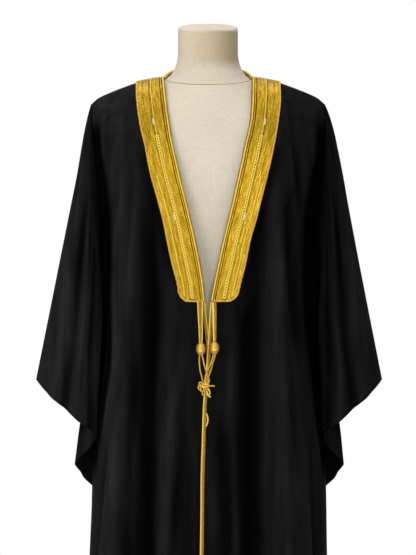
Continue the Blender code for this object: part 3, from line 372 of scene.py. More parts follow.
def tubes_piece(name, tubes, finish, second=None, second_from=0):
    """One mesh from several closed tubes. Its UV map holds the turns round a tube and the metres along it.

    Tubes from the number second_from on may take a second finish.
    """
    points, faces, marks, kinds = [], [], [], []
    for number, rings in enumerate(tubes):
        base = sum(len(part) for part in points)
        rows, sides = rings.shape[:2]
        points.append(rings.reshape(-1, 3))
        along = distances(rings.mean(axis=1))
        for row in range(rows - 1):
            for side in range(sides):
                after = (side + 1) % sides
                faces.append([base + row * sides + side, base + row * sides + after,
                              base + (row + 1) * sides + after, base + (row + 1) * sides + side])
                marks += [(side / sides, along[row]), ((side + 1) / sides, along[row]),
                          ((side + 1) / sides, along[row + 1]), (side / sides, along[row + 1])]
        faces.append([base + side for side in range(sides)][::-1])
        faces.append([base + (rows - 1) * sides + side for side in range(sides)])
        marks += [(0.5, 0.0)] * (2 * sides)
        kinds += [int(second is not None and number >= second_from)] * (len(faces) - len(kinds))
    data = bpy.data.meshes.new(name)
    data.from_pydata(np.concatenate(points).tolist(), [], faces)
    layer = data.uv_layers.new(name="cord")
    layer.data.foreach_set("uv", np.array(marks, dtype=np.float32).reshape(-1))
    data.shade_smooth()
    data.materials.append(finish)
    if second is not None:
        data.materials.append(second)
        data.polygons.foreach_set("material_index", kinds)
    return add_object(name, data)


print("tube makers ready")

# %% Twists and plaits
PLY_OVERLAP = 1.12


def twisted(route, radius, plies, pitch, sides=8):
    """Tubes of a twisted cord: its plies wind round the route."""
    lengths = distances(route)
    _, across, above = carried_frames(route, (0.0, -1.0, 0.02))
    ply = radius / (1.0 + 1.0 / math.sin(math.pi / plies))
    tubes = []
    for number in range(plies):
        turn = 2 * math.pi * (lengths / pitch + number / plies)
        off = np.cos(turn)[:, None] * across + np.sin(turn)[:, None] * above
        tubes.append(tube_rings(route + off * (radius - ply), ply * PLY_OVERLAP, sides))
    return tubes


def plaited(route, up, half_width, half_height, pitch, radius, count=3, sides=6):
    """Tubes of a flat plait: strands that cross from side to side, over and under."""
    lengths = distances(route)
    _, across, above = carried_frames(route, up)
    tubes = []
    for number in range(count):
        turn = 2 * math.pi * (lengths / pitch + number / count)
        off = across * (np.sin(turn) * half_width)[:, None]
        off = off + above * (np.sin(2 * turn) * half_height)[:, None]
        tubes.append(tube_rings(route + off, radius, sides))
    return tubes


Strip = namedtuple("Strip", "offset radius")
STRIP_LEAST = 0.45


def side_by_side(route, up, strips, end_share, sides=8):
    """Tubes that lie beside each other along a route and draw together towards its end."""
    _, across, _ = carried_frames(route, up)
    share = np.linspace(1.0, end_share, len(route))
    tubes = []
    for strip in strips:
        middle = route + across * (strip.offset * share)[:, None]
        tubes.append(tube_rings(middle, strip.radius * (STRIP_LEAST + (1.0 - STRIP_LEAST) * share), sides))
    return tubes


print("cord makers ready")

# %% [markdown]
# Two ties hold the fronts together. Each starts as a flat plait at the band's lower corner, passes
# through a bead wound with gold thread and goes on as two thin strands to one knot. A cord could be
# dropped by a simulation, but a tied one is drawn tight, so its points are set one by one. The routes
# repeat the solid cords.

# %% Tie routes
# Points are x, y and z
TIE_UPPER_RIGHT = (
    (-0.016, -0.1426, 1.0089), (-0.0156, -0.15, 0.985),
    (-0.0148, -0.1515, 0.96), (-0.0144, -0.153, 0.94),
    (-0.0143, -0.1565, 0.9267),
)
TIE_UPPER_LEFT = (
    (0.0117, -0.1448, 1.0067), (0.0126, -0.1508, 0.985),
    (0.0128, -0.1525, 0.96), (0.0129, -0.1538, 0.942),
    (0.0129, -0.157, 0.9286),
)
BEAD_RIGHT = (-0.0143, -0.157, 0.9148)
BEAD_LEFT = (0.0129, -0.1575, 0.9168)
KNOT = (-0.006, -0.1566, 0.84)
TIE_ROUTES = {
    "tie_strand_right_1": (
        (-0.0166, -0.1585, 0.9031), (-0.0172, -0.1565, 0.895),
        (-0.017, -0.155, 0.885), (-0.0158, -0.154, 0.873),
        (-0.0126, -0.154, 0.86), (-0.01, -0.1552, 0.85),
        (-0.0087, -0.1566, 0.8456),
    ),
    "tie_strand_right_2": (
        (-0.0119, -0.16, 0.90375), (-0.0096, -0.161, 0.894),
        (-0.008, -0.1618, 0.886), (-0.005, -0.1623, 0.876),
        (-0.002, -0.162, 0.866), (0.001, -0.161, 0.856),
        (0.0004, -0.1591, 0.8429),
    ),
    "tie_strand_left_1": (
        (0.0112, -0.159, 0.9052), (0.0086, -0.1585, 0.896),
        (0.0062, -0.158, 0.887), (0.0014, -0.158, 0.877),
        (-0.0028, -0.1582, 0.868), (-0.0054, -0.1586, 0.858),
        (-0.0062, -0.1587, 0.8457),
    ),
    "tie_strand_left_2": (
        (0.0148, -0.1585, 0.9047), (0.0126, -0.156, 0.896),
        (0.009, -0.1545, 0.885), (0.0062, -0.1538, 0.874),
        (0.003, -0.1535, 0.864), (-0.0002, -0.154, 0.854),
        (-0.0028, -0.1555, 0.8451),
    ),
    "tie_end_right": (
        (-0.0119, -0.1579, 0.8421), (-0.0168, -0.1582, 0.8432),
        (-0.0192, -0.1586, 0.839), (-0.0182, -0.159, 0.8352),
        (-0.0146, -0.159, 0.833), (-0.0116, -0.1588, 0.829),
        (-0.0106, -0.1585, 0.823),
    ),
    "tie_end_left": (
        (0.0004, -0.1584, 0.8403), (0.005, -0.159, 0.8412),
        (0.009, -0.1588, 0.8414), (0.013, -0.1585, 0.8406),
    ),
    "tie_end_low": (
        (-0.0033, -0.1579, 0.8348), (-0.0012, -0.1585, 0.828),
        (0.0002, -0.1585, 0.8225), (0.0026, -0.158, 0.8196),
        (0.0056, -0.157, 0.819),
    ),
}

# %% Tie cords
FACING_FRONT = (0.0, -1.0, 0.0)
UPPER_STRIPS = {
    "right": (Strip(-0.0022, 0.0018), Strip(0.0012, 0.0021), Strip(-0.0048, 0.0014), Strip(0.0045, 0.0014)),
    "left": (Strip(-0.001, 0.0023), Strip(-0.0036, 0.0016), Strip(0.0031, 0.0016), Strip(0.0008, 0.0014)),
}
UPPER_END_SHARES = {"right": 0.52, "left": 0.62}
UPPER_POINTS = 160
STRAND_RADIUS = 0.0016
STRAND_PITCH = 0.0058
STRAND_POINTS = 90
ROUTE_POINTS = 40


def take_place(item, node_name=None):
    """A piece rides with the object's one body, and stands for its solid where it has one."""
    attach(item, "root")
    if node_name:
        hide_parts(node_name)
    return item


upper_routes = {"right": smooth_route(TIE_UPPER_RIGHT, ROUTE_POINTS),
                "left": smooth_route(TIE_UPPER_LEFT, ROUTE_POINTS)}
for side, route in upper_routes.items():
    fine = smooth_route(route, UPPER_POINTS)
    tubes = side_by_side(fine, FACING_FRONT, UPPER_STRIPS[side], UPPER_END_SHARES[side])
    plait = tubes_piece("plait_" + side, tubes, deep_cord, pale_cord, 2)
    take_place(plait, "tie_upper_" + side)
for node_name, points in TIE_ROUTES.items():
    name = node_name.replace("tie_", "cord_")
    fine = smooth_route(points, STRAND_POINTS)
    strand = tubes_piece(name, twisted(fine, STRAND_RADIUS, 2, STRAND_PITCH), gold_cord)
    take_place(strand, node_name)

# %% [markdown]
# The beads are wooden balls wound with gold thread from pole to pole. A smooth ball with a striped
# finish would look printed, so a ball with fine ribs that lean a little shows the windings, and small
# rings of cord close its two ends.

# %% Beads
BEAD_WIDTH = 0.0192
BEAD_HEIGHT = 0.0244
BEAD_AROUND = 96
BEAD_DOWN = 30
POLE_ANGLE = 0.06
RIBS = 22
RIB_LEAN = 2.6
RIB_HEIGHT = 0.01
BEAD_FULLNESS = 0.82
HOOP_RADIUS = 0.0031
HOOP_CORD_RADIUS = 0.0011
HOOP_AT = 0.455
HOOP_POINTS = 33


def wound_bead(name, centre):
    """A ball with leaning ribs of thread and a cord ring at each end."""
    turn = np.linspace(0.0, 2 * math.pi, BEAD_AROUND, endpoint=False)[None, :]
    fall = np.linspace(POLE_ANGLE, math.pi - POLE_ANGLE, BEAD_DOWN)[:, None]
    ribs = 1.0 + RIB_HEIGHT * np.sin(turn * RIBS + fall * RIB_LEAN)
    ring = np.sin(fall) ** BEAD_FULLNESS * ribs
    ball = np.stack((ring * np.cos(turn) * BEAD_WIDTH / 2, ring * np.sin(turn) * BEAD_WIDTH / 2,
                     np.cos(fall) * ribs * BEAD_HEIGHT / 2), axis=-1) + np.array(centre)
    tubes = [ball]
    around = np.linspace(0.0, 2 * math.pi, HOOP_POINTS)
    for sign in (1, -1):
        hoop = HOOP_RADIUS * np.stack((np.cos(around), np.sin(around), np.zeros(HOOP_POINTS)), axis=-1)
        hoop = hoop + np.array(centre) + np.array((0.0, 0.0, sign * BEAD_HEIGHT * HOOP_AT))
        tubes.append(tube_rings(hoop, HOOP_CORD_RADIUS, 8))
    return tubes_piece(name, tubes, bead_gold)


take_place(wound_bead("bead_right", BEAD_RIGHT), "tie_bead_right")
take_place(wound_bead("bead_left", BEAD_LEFT), "tie_bead_left")

# %% [markdown]
# The knot is a real one: a cord that passes over and under itself three times and is drawn tight,
# with small loops of cord round it. A lump with a cord finish would look like clay, so every loop is
# a tube of its own.

# %% Knot
KNOT_LOOPS = table(
    "across up wide tall lean depth",
    (-0.0078, 0.0036, 0.0034, 0.0052, 0.5, -0.0016),
    (-0.0052, -0.0052, 0.003, 0.005, -0.2, -0.0026),
    (0.0046, 0.0094, 0.003, 0.0062, -0.45, -0.001),
    (0.0066, -0.0112, 0.0027, 0.0066, 0.12, -0.002),
    (0.001, 0.002, 0.0058, 0.0026, 0.3, -0.0036),
)
LOOP_POINTS = 90
LOOP_WAVE = 0.0016
KNOT_CORD_RADIUS = 0.00155
PALE_FROM = 4


def loop_route(loop):
    """A leaning loop of cord, placed from the knot's centre."""
    turn = np.linspace(0.0, 2 * math.pi, LOOP_POINTS)
    x, z = loop.wide * np.cos(turn), loop.tall * np.sin(turn)
    return np.stack((loop.across + x * math.cos(loop.lean) - z * math.sin(loop.lean),
                     loop.depth - LOOP_WAVE * np.sin(2 * turn),
                     loop.up + x * math.sin(loop.lean) + z * math.cos(loop.lean)), axis=-1) + np.array(KNOT)


def trefoil_route():
    """The knot's heart: one cord over and under itself three times."""
    turn = np.linspace(0.0, 2 * math.pi, 2 * LOOP_POINTS + 1)
    return np.stack((
        (np.sin(turn) + 2 * np.sin(2 * turn)) / 3.0 * 0.0064,
        -np.sin(3 * turn) * 0.003 - 0.0012,
        (np.cos(turn) - 2 * np.cos(2 * turn)) / 3.0 * 0.0062,
    ), axis=-1) + np.array(KNOT)


knot_routes = [trefoil_route()] + [loop_route(loop) for loop in KNOT_LOOPS]
knot_tubes = [tube_rings(route, KNOT_CORD_RADIUS, 8) for route in knot_routes]
knot = tubes_piece("knot", knot_tubes, gold_cord, pale_cord, PALE_FROM)
take_place(knot, "tie_knot")
print("knot faces:", len(knot.data.polygons))

# %% [markdown]


print("cords made")

# %% [markdown]
# ## Cloth
# The cloth follows the same tailor's tables as the solid panels: heights and widths of the seams,
# how far the front and back stand out, and where the main folds run. A cloth simulation could drop it
# on the form, but it would not fall into the same folds. Everything is in metres.

# %% Walls, heights and widths
# Walls and gaps
CLOTH_WALL = 0.0016
SEAM_GAP = 0.0003
LAYER_GAP = 0.001

# Main heights
HEM_Z = 0.06
UNDERARM_Z = 0.94
CHEST_Z = 1.3456
NECK_POINT_Z = 1.4555
SHOULDER_END_Z = 1.4034

# Main widths, from the centre
NECK_POINT_X = 0.0895
BAND_TOP_X = 0.147
SHOULDER_END_X = 0.2386

# The neckline at the back
BACK_NECK_DEPTH = 0.072
BACK_NECK_RISE = 0.018

# How the panels are divided
TOP_FRACTIONS = (0.0, 0.05, 0.15, 0.35, 0.65, 1.0)
ARM_ROWS = 12
LOW_ROWS = 9
LOW_SPACING = 1.2
BAND_COLUMNS = 3
FRONT_COLUMNS = 11
NECK_COLUMNS = 6
BACK_BAND_COLUMNS = 3
BACK_COLUMNS = 5
BAND_BOTTOM_ROW = 15

# Openings and laps
ARMHOLE_HALF = 0.016
ARMHOLE_LEAST = 0.0045
LAP_FRONT = 0.005
LAP_BACK = 0.0035
LAP_REACH = 0.05
LAP_TOP_Z = 1.02
LAP_FULL_Z = 0.95
ARMHOLE_TOP_REACH = 0.05
ARMHOLE_LOW_REACH = 0.02
ARMHOLE_TOP_END = 0.006
SETTLE_REACH = 0.1
NECK_RISE_BLEND = 0.8
print("from hem to neck point:", round(NECK_POINT_Z - HEM_Z, 4))

# %% Seam tables
# Shoulder line: distance from the centre and height
SHOULDER_LINE = table(
    "x z",
    (0.0895, 1.4555),
    (0.109, 1.4535),
    (0.13, 1.45),
    (0.147, 1.4463),
    (0.165, 1.4402),
    (0.197, 1.428),
    (0.224, 1.4157),
    (0.2386, 1.4034),
)

# How far the front and the back stand out at each drop below the shoulder line
PROFILE = table(
    "drop front back",
    (0.000, 0.000, 0.000),
    (0.003, 0.014, 0.013),
    (0.008, 0.026, 0.025),
    (0.016, 0.04, 0.039),
    (0.03, 0.058, 0.059),
    (0.05, 0.075, 0.078),
    (0.08, 0.092, 0.093),
    (0.12, 0.106, 0.103),
    (0.17, 0.117, 0.109),
    (0.25, 0.126, 0.113),
    (0.4, 0.134, 0.117),
    (0.6, 0.141, 0.123),
    (1.000, 0.155, 0.138),
    (1.4, 0.17, 0.155),
)

# Side seams: half width at the wearer's right and left, and how square the section is
SIDES = table(
    "z right left square",
    (1.4034, 0.2386, 0.2386, 2.3),
    (1.384, 0.238, 0.2385, 2.4),
    (1.315, 0.2315, 0.237, 2.6),
    (1.25, 0.2265, 0.231, 2.6),
    (1.147, 0.2215, 0.2195, 2.6),
    (1.03, 0.216, 0.215, 2.6),
    (0.94, 0.2065, 0.215, 2.8),
    (0.88, 0.2055, 0.2205, 3.2),
    (0.817, 0.213, 0.225, 3.8),
    (0.753, 0.221, 0.2305, 4.0),
    (0.692, 0.229, 0.238, 4.0),
    (0.63, 0.235, 0.2425, 4.0),
    (0.485, 0.244, 0.2455, 3.8),
    (0.06, 0.256, 0.257, 3.6),
)

# Front edges: where each front begins, counted from the centre towards its own side
EDGE = "z right left"
FRONT_EDGES = table(
    EDGE,
    (1.4555, 0.0895, 0.0895),
    (1.377, 0.0788, 0.085),
    (1.318, 0.0689, 0.0725),
    (1.289, 0.0618, 0.0666),
    (1.249, 0.0528, 0.0575),
    (1.2097, 0.0428, 0.0488),
    (1.1301, 0.0245, 0.0295),
    (1.0774, 0.014, 0.0181),
    (1.0386, 0.0085, 0.01),
    (1.0087, 0.0056, 0.005),
    (0.973, 0.002, 0.002),
    (0.9269, -0.003, -0.0012),
    (0.876, -0.006, -0.0042),
    (0.8, -0.006, -0.0104),
    (0.718, -0.003, -0.013),
    (0.5, 0.001, -0.0166),
    (0.06, 0.008, -0.024),
)

# Outer line of the gold band, carried on down the panel below it
BAND_LINE = table(
    EDGE,
    (1.4463, 0.147, 0.147),
    (1.415, 0.145, 0.1468),
    (1.365, 0.138, 0.1411),
    (1.314, 0.1258, 0.1318),
    (1.264, 0.116, 0.1205),
    (1.216, 0.1022, 0.1084),
    (1.17, 0.0902, 0.0964),
    (1.13, 0.0824, 0.0845),
    (1.0812, 0.0718, 0.0748),
    (1.0414, 0.0614, 0.0648),
    (1.0076, 0.057, 0.059),
    (0.94, 0.06, 0.062),
    (0.7, 0.066, 0.066),
    (0.06, 0.075, 0.075),
)

# %% Main folds
# Largest folds: three places along each fold, its half width, and how far it stands out or sinks in
FOLD = "x_top z_top x_mid z_mid x_low z_low width depth"
FRONT_RIGHT_FOLDS = table(
    FOLD,
    (-0.121, 1.27, -0.116, 1.11, -0.124, 0.06, 0.023, -0.015),
    (-0.135, 1.24, -0.18, 0.97, -0.216, 0.74, 0.018, 0.009),
    (-0.046, 0.91, -0.072, 0.769, -0.112, 0.06, 0.02, 0.012),
    (-0.176, 0.8, -0.193, 0.658, -0.222, 0.06, 0.015, 0.009),
    (-0.09, 1.13, -0.066, 1.06, -0.04, 1.000, 0.018, -0.004),
)
FRONT_LEFT_FOLDS = table(
    FOLD,
    (0.11, 1.23, 0.082, 0.9, 0.09, 0.06, 0.02, -0.014),
    (0.129, 1.26, 0.145, 0.98, 0.17, 0.06, 0.021, 0.01),
    (0.157, 1.23, 0.164, 1.08, 0.182, 0.9, 0.013, -0.008),
    (0.024, 0.78, 0.038, 0.6, 0.064, 0.06, 0.015, -0.007),
    (0.18, 0.77, 0.189, 0.668, 0.216, 0.06, 0.014, 0.009),
)
BACK_FOLDS = table(
    FOLD,
    (-0.165, 1.22, -0.172, 0.85, -0.19, 0.06, 0.021, 0.013),
    (-0.112, 1.18, -0.118, 0.8, -0.13, 0.06, 0.023, -0.013),
    (-0.05, 1.24, -0.058, 0.78, -0.068, 0.06, 0.022, 0.012),
    (0.008, 1.14, 0.004, 0.72, -0.004, 0.06, 0.022, -0.011),
    (0.062, 1.26, 0.068, 0.8, 0.072, 0.06, 0.021, 0.012),
    (0.116, 1.15, 0.125, 0.76, 0.136, 0.06, 0.023, -0.013),
    (0.168, 1.23, 0.182, 0.82, 0.196, 0.06, 0.02, 0.012),
)
FOLD_FADE = 0.11
FOLD_OVERRUN = 0.03
STIFF_BLEND = 3

print("tables read:", len(PROFILE), "depths,", len(SIDES), "widths")

# %% [markdown]
# A few helpers read the tables smoothly, so that the fine cloth here runs through the same places as
# the solid panels. Straight lines between the rows would show as kinks, and an ordinary spline as
# false bulges, so the curve never overshoots its knots.

# %% Reading the tables
def column(rows, name):
    """One named column of a table."""
    return np.array([getattr(row, name) for row in rows])


def smooth(knots, values, at):
    """A cubic through the knots that doesn't overshoot them, held level past both ends."""
    if knots[0] > knots[-1]:
        knots, values = knots[::-1], values[::-1]
    steps = np.diff(values) / np.diff(knots)
    before, after = steps[:-1], steps[1:]
    total = np.where(before + after == 0.0, 1.0, before + after)
    middle = np.where(before * after > 0.0, 2.0 * before * after / total, 0.0)
    slopes = np.concatenate((steps[:1], middle, steps[-1:]))
    at = np.clip(at, knots[0], knots[-1])
    low = np.clip(np.searchsorted(knots, at) - 1, 0, len(knots) - 2)
    width = knots[low + 1] - knots[low]
    t = (at - knots[low]) / width
    start = (1 + 2 * t) * (1 - t) ** 2 * values[low] + t * (1 - t) ** 2 * width * slopes[low]
    end = t * t * (3 - 2 * t) * values[low + 1] - t * t * (1 - t) * width * slopes[low + 1]
    return start + end


def look_up(rows, key, value, at):
    """A table read smoothly between its rows."""
    return smooth(column(rows, key), column(rows, value), at)


def ease(t):
    """Nought to one, level at both ends."""
    t = np.clip(t, 0.0, 1.0)
    return t * t * (3 - 2 * t)


def side_name(side):
    """The wearer's side: -1 is right and 1 is left."""
    return "right" if side < 0 else "left"


def shoulder_z(x):
    """Height of the shoulder line at a distance from the centre."""
    return look_up(SHOULDER_LINE, "x", "z", np.abs(x))


def half_width(side, z):
    """Distance of the side seam from the centre."""
    return look_up(SIDES, "z", side_name(side), z)


def armhole_half(z):
    """Half of the armhole's opening, closed at both of its ends."""
    up = np.clip((z - UNDERARM_Z) / (CHEST_Z - UNDERARM_Z), 0.0, 1.0)
    down = ease((SHOULDER_END_Z - z) / ARMHOLE_TOP_REACH)
    least = ease((z - UNDERARM_Z) / ARMHOLE_LOW_REACH) * ease((SHOULDER_END_Z - z) / ARMHOLE_TOP_END)
    return ARMHOLE_HALF * up * down + ARMHOLE_LEAST * least


print("half width at the chest:", round(float(half_width(1, CHEST_Z)), 4))

# %% [markdown]
# Heavy wool hangs in long soft folds. The large ones are in the solid panels already. The tables
# below add the finer creases that a maker would see: three places along each one, its half width and
# its depth. A ridge is a positive depth and a trough a negative one. A noise texture would be quicker,
# but creases start from a shoulder, a sleeve or the tie, so each has its own row.

# %% Finer creases
FRONT_RIGHT_CREASES = table(
    FOLD,
    (-0.171, 1.26, -0.1875, 1.066, -0.193, 0.93, 0.008, 0.0045),
    (-0.152, 1.28, -0.17, 1.05, -0.186, 0.84, 0.008, -0.0035),
    (-0.2, 1.33, -0.203, 1.15, -0.2, 1.000, 0.008, -0.003),
    (-0.04, 0.9, -0.056, 0.769, -0.086, 0.06, 0.009, -0.007),
    (-0.094, 0.98, -0.1, 0.7, -0.118, 0.06, 0.009, 0.0035),
    (-0.15, 0.93, -0.158, 0.62, -0.176, 0.06, 0.011, -0.0055),
    (-0.204, 0.74, -0.212, 0.62, -0.242, 0.06, 0.007, -0.0045),
    (-0.021, 0.76, -0.03, 0.5, -0.046, 0.06, 0.009, 0.0045),
    (-0.086, 1.115, -0.074, 1.06, -0.06, 0.985, 0.006, 0.0034),
    (-0.076, 1.08, -0.06, 1.02, -0.04, 0.95, 0.0052, -0.0036),
    (-0.066, 1.01, -0.05, 0.965, -0.03, 0.9, 0.005, 0.003),
    (-0.17, 1.425, -0.176, 1.37, -0.186, 1.29, 0.008, 0.0025),
    (-0.205, 1.405, -0.207, 1.36, -0.208, 1.29, 0.008, -0.0022),
    (-0.222, 1.398, -0.196, 1.352, -0.16, 1.3, 0.0048, 0.0016),
    (-0.205, 1.41, -0.172, 1.372, -0.15, 1.335, 0.0045, -0.0016),
    (-0.18, 1.3, -0.16, 1.255, -0.14, 1.205, 0.005, 0.0016),
    (-0.15, 1.34, -0.142, 1.29, -0.13, 1.24, 0.0045, -0.002),
    (-0.182, 0.93, -0.214, 0.763, -0.245, 0.54, 0.005, 0.0026),
    (-0.168, 0.86, -0.193, 0.658, -0.226, 0.4, 0.0045, 0.0026),
)
FRONT_LEFT_CREASES = table(
    FOLD,
    (0.155, 1.43, 0.167, 1.345, 0.188, 1.17, 0.0055, -0.0042),
    (0.146, 1.35, 0.158, 1.29, 0.174, 1.23, 0.0075, 0.003),
    (0.197, 1.33, 0.199, 1.18, 0.201, 1.02, 0.008, 0.003),
    (0.157, 1.000, 0.166, 0.85, 0.184, 0.64, 0.008, -0.0045),
    (0.05, 0.98, 0.05, 0.64, 0.06, 0.06, 0.011, 0.005),
    (0.208, 0.76, 0.211, 0.6, 0.238, 0.06, 0.006, -0.0048),
    (0.116, 0.76, 0.124, 0.48, 0.134, 0.06, 0.009, 0.004),
    (-0.004, 0.72, 0.004, 0.48, 0.014, 0.06, 0.009, 0.0035),
    (0.083, 1.075, 0.07, 1.03, 0.05, 0.975, 0.0052, -0.004),
    (0.098, 1.06, 0.086, 1.01, 0.066, 0.94, 0.0052, 0.0032),
    (0.062, 0.99, 0.046, 0.95, 0.028, 0.89, 0.005, -0.003),
    (0.2, 1.41, 0.204, 1.36, 0.208, 1.3, 0.008, 0.0024),
    (0.222, 1.398, 0.192, 1.35, 0.16, 1.3, 0.005, 0.0016),
    (0.178, 1.42, 0.168, 1.385, 0.152, 1.35, 0.0045, -0.0016),
    (0.19, 1.25, 0.168, 1.205, 0.142, 1.16, 0.005, -0.0016),
    (0.176, 0.86, 0.189, 0.668, 0.214, 0.42, 0.0045, 0.0026),
    (0.129, 1.234, 0.137, 1.15, 0.144, 1.016, 0.006, 0.0022),
)
BACK_CREASES = table(
    FOLD,
    (-0.196, 1.33, -0.2, 1.12, -0.208, 0.82, 0.009, -0.0042),
    (-0.142, 1.12, -0.146, 0.7, -0.16, 0.06, 0.009, 0.0045),
    (-0.084, 1.23, -0.088, 0.9, -0.096, 0.06, 0.0085, -0.0048),
    (-0.026, 1.05, -0.026, 0.66, -0.034, 0.06, 0.0085, 0.0042),
    (0.034, 1.18, 0.036, 0.82, 0.032, 0.06, 0.0085, -0.0045),
    (0.092, 1.06, 0.098, 0.64, 0.104, 0.06, 0.0085, 0.0045),
    (0.15, 1.1, 0.154, 0.7, 0.166, 0.06, 0.009, -0.0042),
    (0.198, 1.32, 0.204, 1.08, 0.214, 0.8, 0.009, 0.0035),
    (-0.07, 1.42, -0.115, 1.33, -0.15, 1.23, 0.012, 0.003),
    (0.075, 1.42, 0.118, 1.32, 0.155, 1.22, 0.012, 0.003),
    (-0.205, 0.64, -0.218, 0.4, -0.232, 0.06, 0.01, 0.005),
    (0.208, 0.66, 0.22, 0.4, 0.234, 0.06, 0.01, 0.0045),
)
print("finer creases:", len(FRONT_RIGHT_CREASES) + len(FRONT_LEFT_CREASES) + len(BACK_CREASES))

# %% [markdown]
# Every crease wanders a little and is deeper in some places than in others, because cloth never
# folds along a ruled line. Slow waves along the fold give that unevenness.

# %% Fold depths
WANDER = 0.0035
WANDER_RATE = 11.0
UNEVENNESS = 0.35
UNEVEN_RATE = 17.0


def fold_depth(folds, x, z, uneven=0.0):
    """How far the folds move the cloth out at each place."""
    total = np.zeros(np.broadcast(x, z).shape)
    for number, fold in enumerate(folds):
        heights = np.array([fold.z_low, fold.z_mid, fold.z_top])
        middle = smooth(heights, np.array([fold.x_low, fold.x_mid, fold.x_top]), z)
        middle = middle + uneven * WANDER * np.sin(z * WANDER_RATE + number * 2.1)
        depth = fold.depth * (1.0 + uneven * UNEVENNESS * np.sin(z * UNEVEN_RATE + number * 1.3))
        fade = ease((fold.z_top + FOLD_OVERRUN - z) / FOLD_FADE)
        if fold.z_low > HEM_Z:
            fade = fade * ease((z - fold.z_low + FOLD_OVERRUN) / FOLD_FADE)
        total = total + depth * fade * np.exp(-(((x - middle) / fold.width) ** 2))
    return total


def depth_at(facing, side, x, z):
    """Distance of the cloth from the plane of the shoulder line, before its folds."""
    full = look_up(PROFILE, "drop", facing, np.maximum(shoulder_z(x) - z, 0.0))
    seam = armhole_half(z) + SEAM_GAP / 2
    power = look_up(SIDES, "z", "square", z)
    across = np.minimum(np.abs(x) / half_width(side, z), 1.0)
    return seam + np.maximum(full - seam, 0.0) * (1.0 - across ** power) ** (1.0 / power)


print("depth at the chest:", round(float(depth_at("front", 1, 0.1, CHEST_Z)), 4))

# %% Rows down a panel
def finer(values, rows):
    """A coarse list of rows, read at evenly spaced finer rows."""
    at = np.linspace(0.0, len(values) - 1.0, rows)
    low = np.minimum(at.astype(int), len(values) - 2)
    share = (at - low)[:, None]
    return values[low] * (1 - share) + values[low + 1] * share


def heights(tops, rows):
    """Heights down each column, from its top to the hem."""
    tops = np.atleast_1d(tops)
    top = tops - np.array(TOP_FRACTIONS)[:, None] * (tops - CHEST_Z)
    arm = CHEST_Z + (UNDERARM_Z - CHEST_Z) * np.arange(1, ARM_ROWS + 1) / ARM_ROWS
    low = UNDERARM_Z + (HEM_Z - UNDERARM_Z) * (np.arange(1, LOW_ROWS + 1) / LOW_ROWS) ** LOW_SPACING
    rest = np.repeat(np.concatenate((arm, low))[:, None], len(tops), axis=1)
    return finer(np.concatenate((top, rest)), rows)


def grid_normals(grid, closed=False):
    """Normals of a grid of points."""
    if closed:
        along = np.roll(grid, -1, axis=1) - np.roll(grid, 1, axis=1)
    else:
        along = np.gradient(grid, axis=1)
    return unit(np.cross(along, np.gradient(grid, axis=0)))


FINE = 8
LAST_ROW = len(TOP_FRACTIONS) - 1 + ARM_ROWS + LOW_ROWS
ROWS = LAST_ROW * FINE + 1
COARSE_ROW = np.linspace(0.0, LAST_ROW, ROWS)[:, None]
print("rows down a panel:", ROWS, "columns for each coarse one:", FINE)

# %% [markdown]
# Black cloth shows its folds only by small steps of light and dark. A point value holds that step for
# each place as painted shade and painted highlight, which multiply the wool's colour: ridges are
# painted lighter and troughs darker, with a painted dark channel beside each sleeve and painted shade
# in a hollow beside each stiff band. More lamps could bring the folds out too, but would grey the black.

# %% Painted light and shade of the cloth
RIDGE_LIGHT = 62.0
TROUGH_DARK = 135.0
CHANNEL_DARK = 0.9
CHANNEL_CORE = 0.55
CHANNEL_EDGE = 0.45
CHANNEL_LOW_Z = 0.6
CHANNEL_TOP_Z = 1.4
HOLLOW_DARK = 0.62
HOLLOW_LOW_Z = 1.02
HOLLOW_TOP_Z = 1.345
CHANNELS = table(
    "z right left",
    (0.7, 0.008, 0.014),
    (0.8, 0.012, 0.018),
    (0.95, 0.017, 0.026),
    (1.08, 0.034, 0.036),
    (1.2, 0.036, 0.04),
    (1.3, 0.022, 0.026),
)
shades = {}


def fold_shade(depth):
    """Painted light and shade of the folds: ridges are painted lighter and troughs darker."""
    return np.where(depth > 0, 1.0 + RIDGE_LIGHT * depth, np.exp(TROUGH_DARK * depth))


def beside_sleeve(side, grid):
    """Painted shade: the dark channel where a panel turns in behind its sleeve."""
    z = grid[..., 2]
    from_seam = half_width(side, z) - side * grid[..., 0]
    wide = np.interp(z, column(CHANNELS, "z"), column(CHANNELS, side_name(side)))
    dark = 1.0 - ease((from_seam / wide - CHANNEL_CORE) / CHANNEL_EDGE)
    dark = dark * ease((z - CHANNEL_LOW_Z) / 0.08) * ease((CHANNEL_TOP_Z - z) / 0.06)
    return 1.0 - CHANNEL_DARK * dark


def beside_band(side, grid):
    """Painted shade in the hollow that the stiff band makes beside its outer edge."""
    z = grid[..., 2]
    away = side * grid[..., 0] - look_up(BAND_LINE, "z", side_name(side), z)
    near = ease((away + 0.004) / 0.006) * (1.0 - ease((away - 0.006) / 0.022))
    return 1.0 - HOLLOW_DARK * near * ease((z - HOLLOW_LOW_Z) / 0.1) * ease((HOLLOW_TOP_Z - z) / 0.06)


print("shade at the foot of a 5 mm trough:", round(float(fold_shade(np.array(-0.005))), 2))

# %% [markdown]
# Each front is laid out from its edge to the side seam: the band's width first, then the part that
# turns round the side. A flat panel could be bent over the form, but the band would then wave with
# it. The gold band stiffens the cloth under it, so folds die out towards it.

# %% The fronts' surfaces
def push_folds(grid, normals, folds, creases, soft):
    """Move the cloth out along its level normals by its folds and creases."""
    depth = fold_depth(folds, grid[..., 0], grid[..., 2])
    depth = depth + fold_depth(creases, grid[..., 0], grid[..., 2], uneven=1.0)
    level = unit(normals * np.array([1.0, 1.0, 0.0]))
    return grid + level * (depth * soft)[..., None], depth * soft


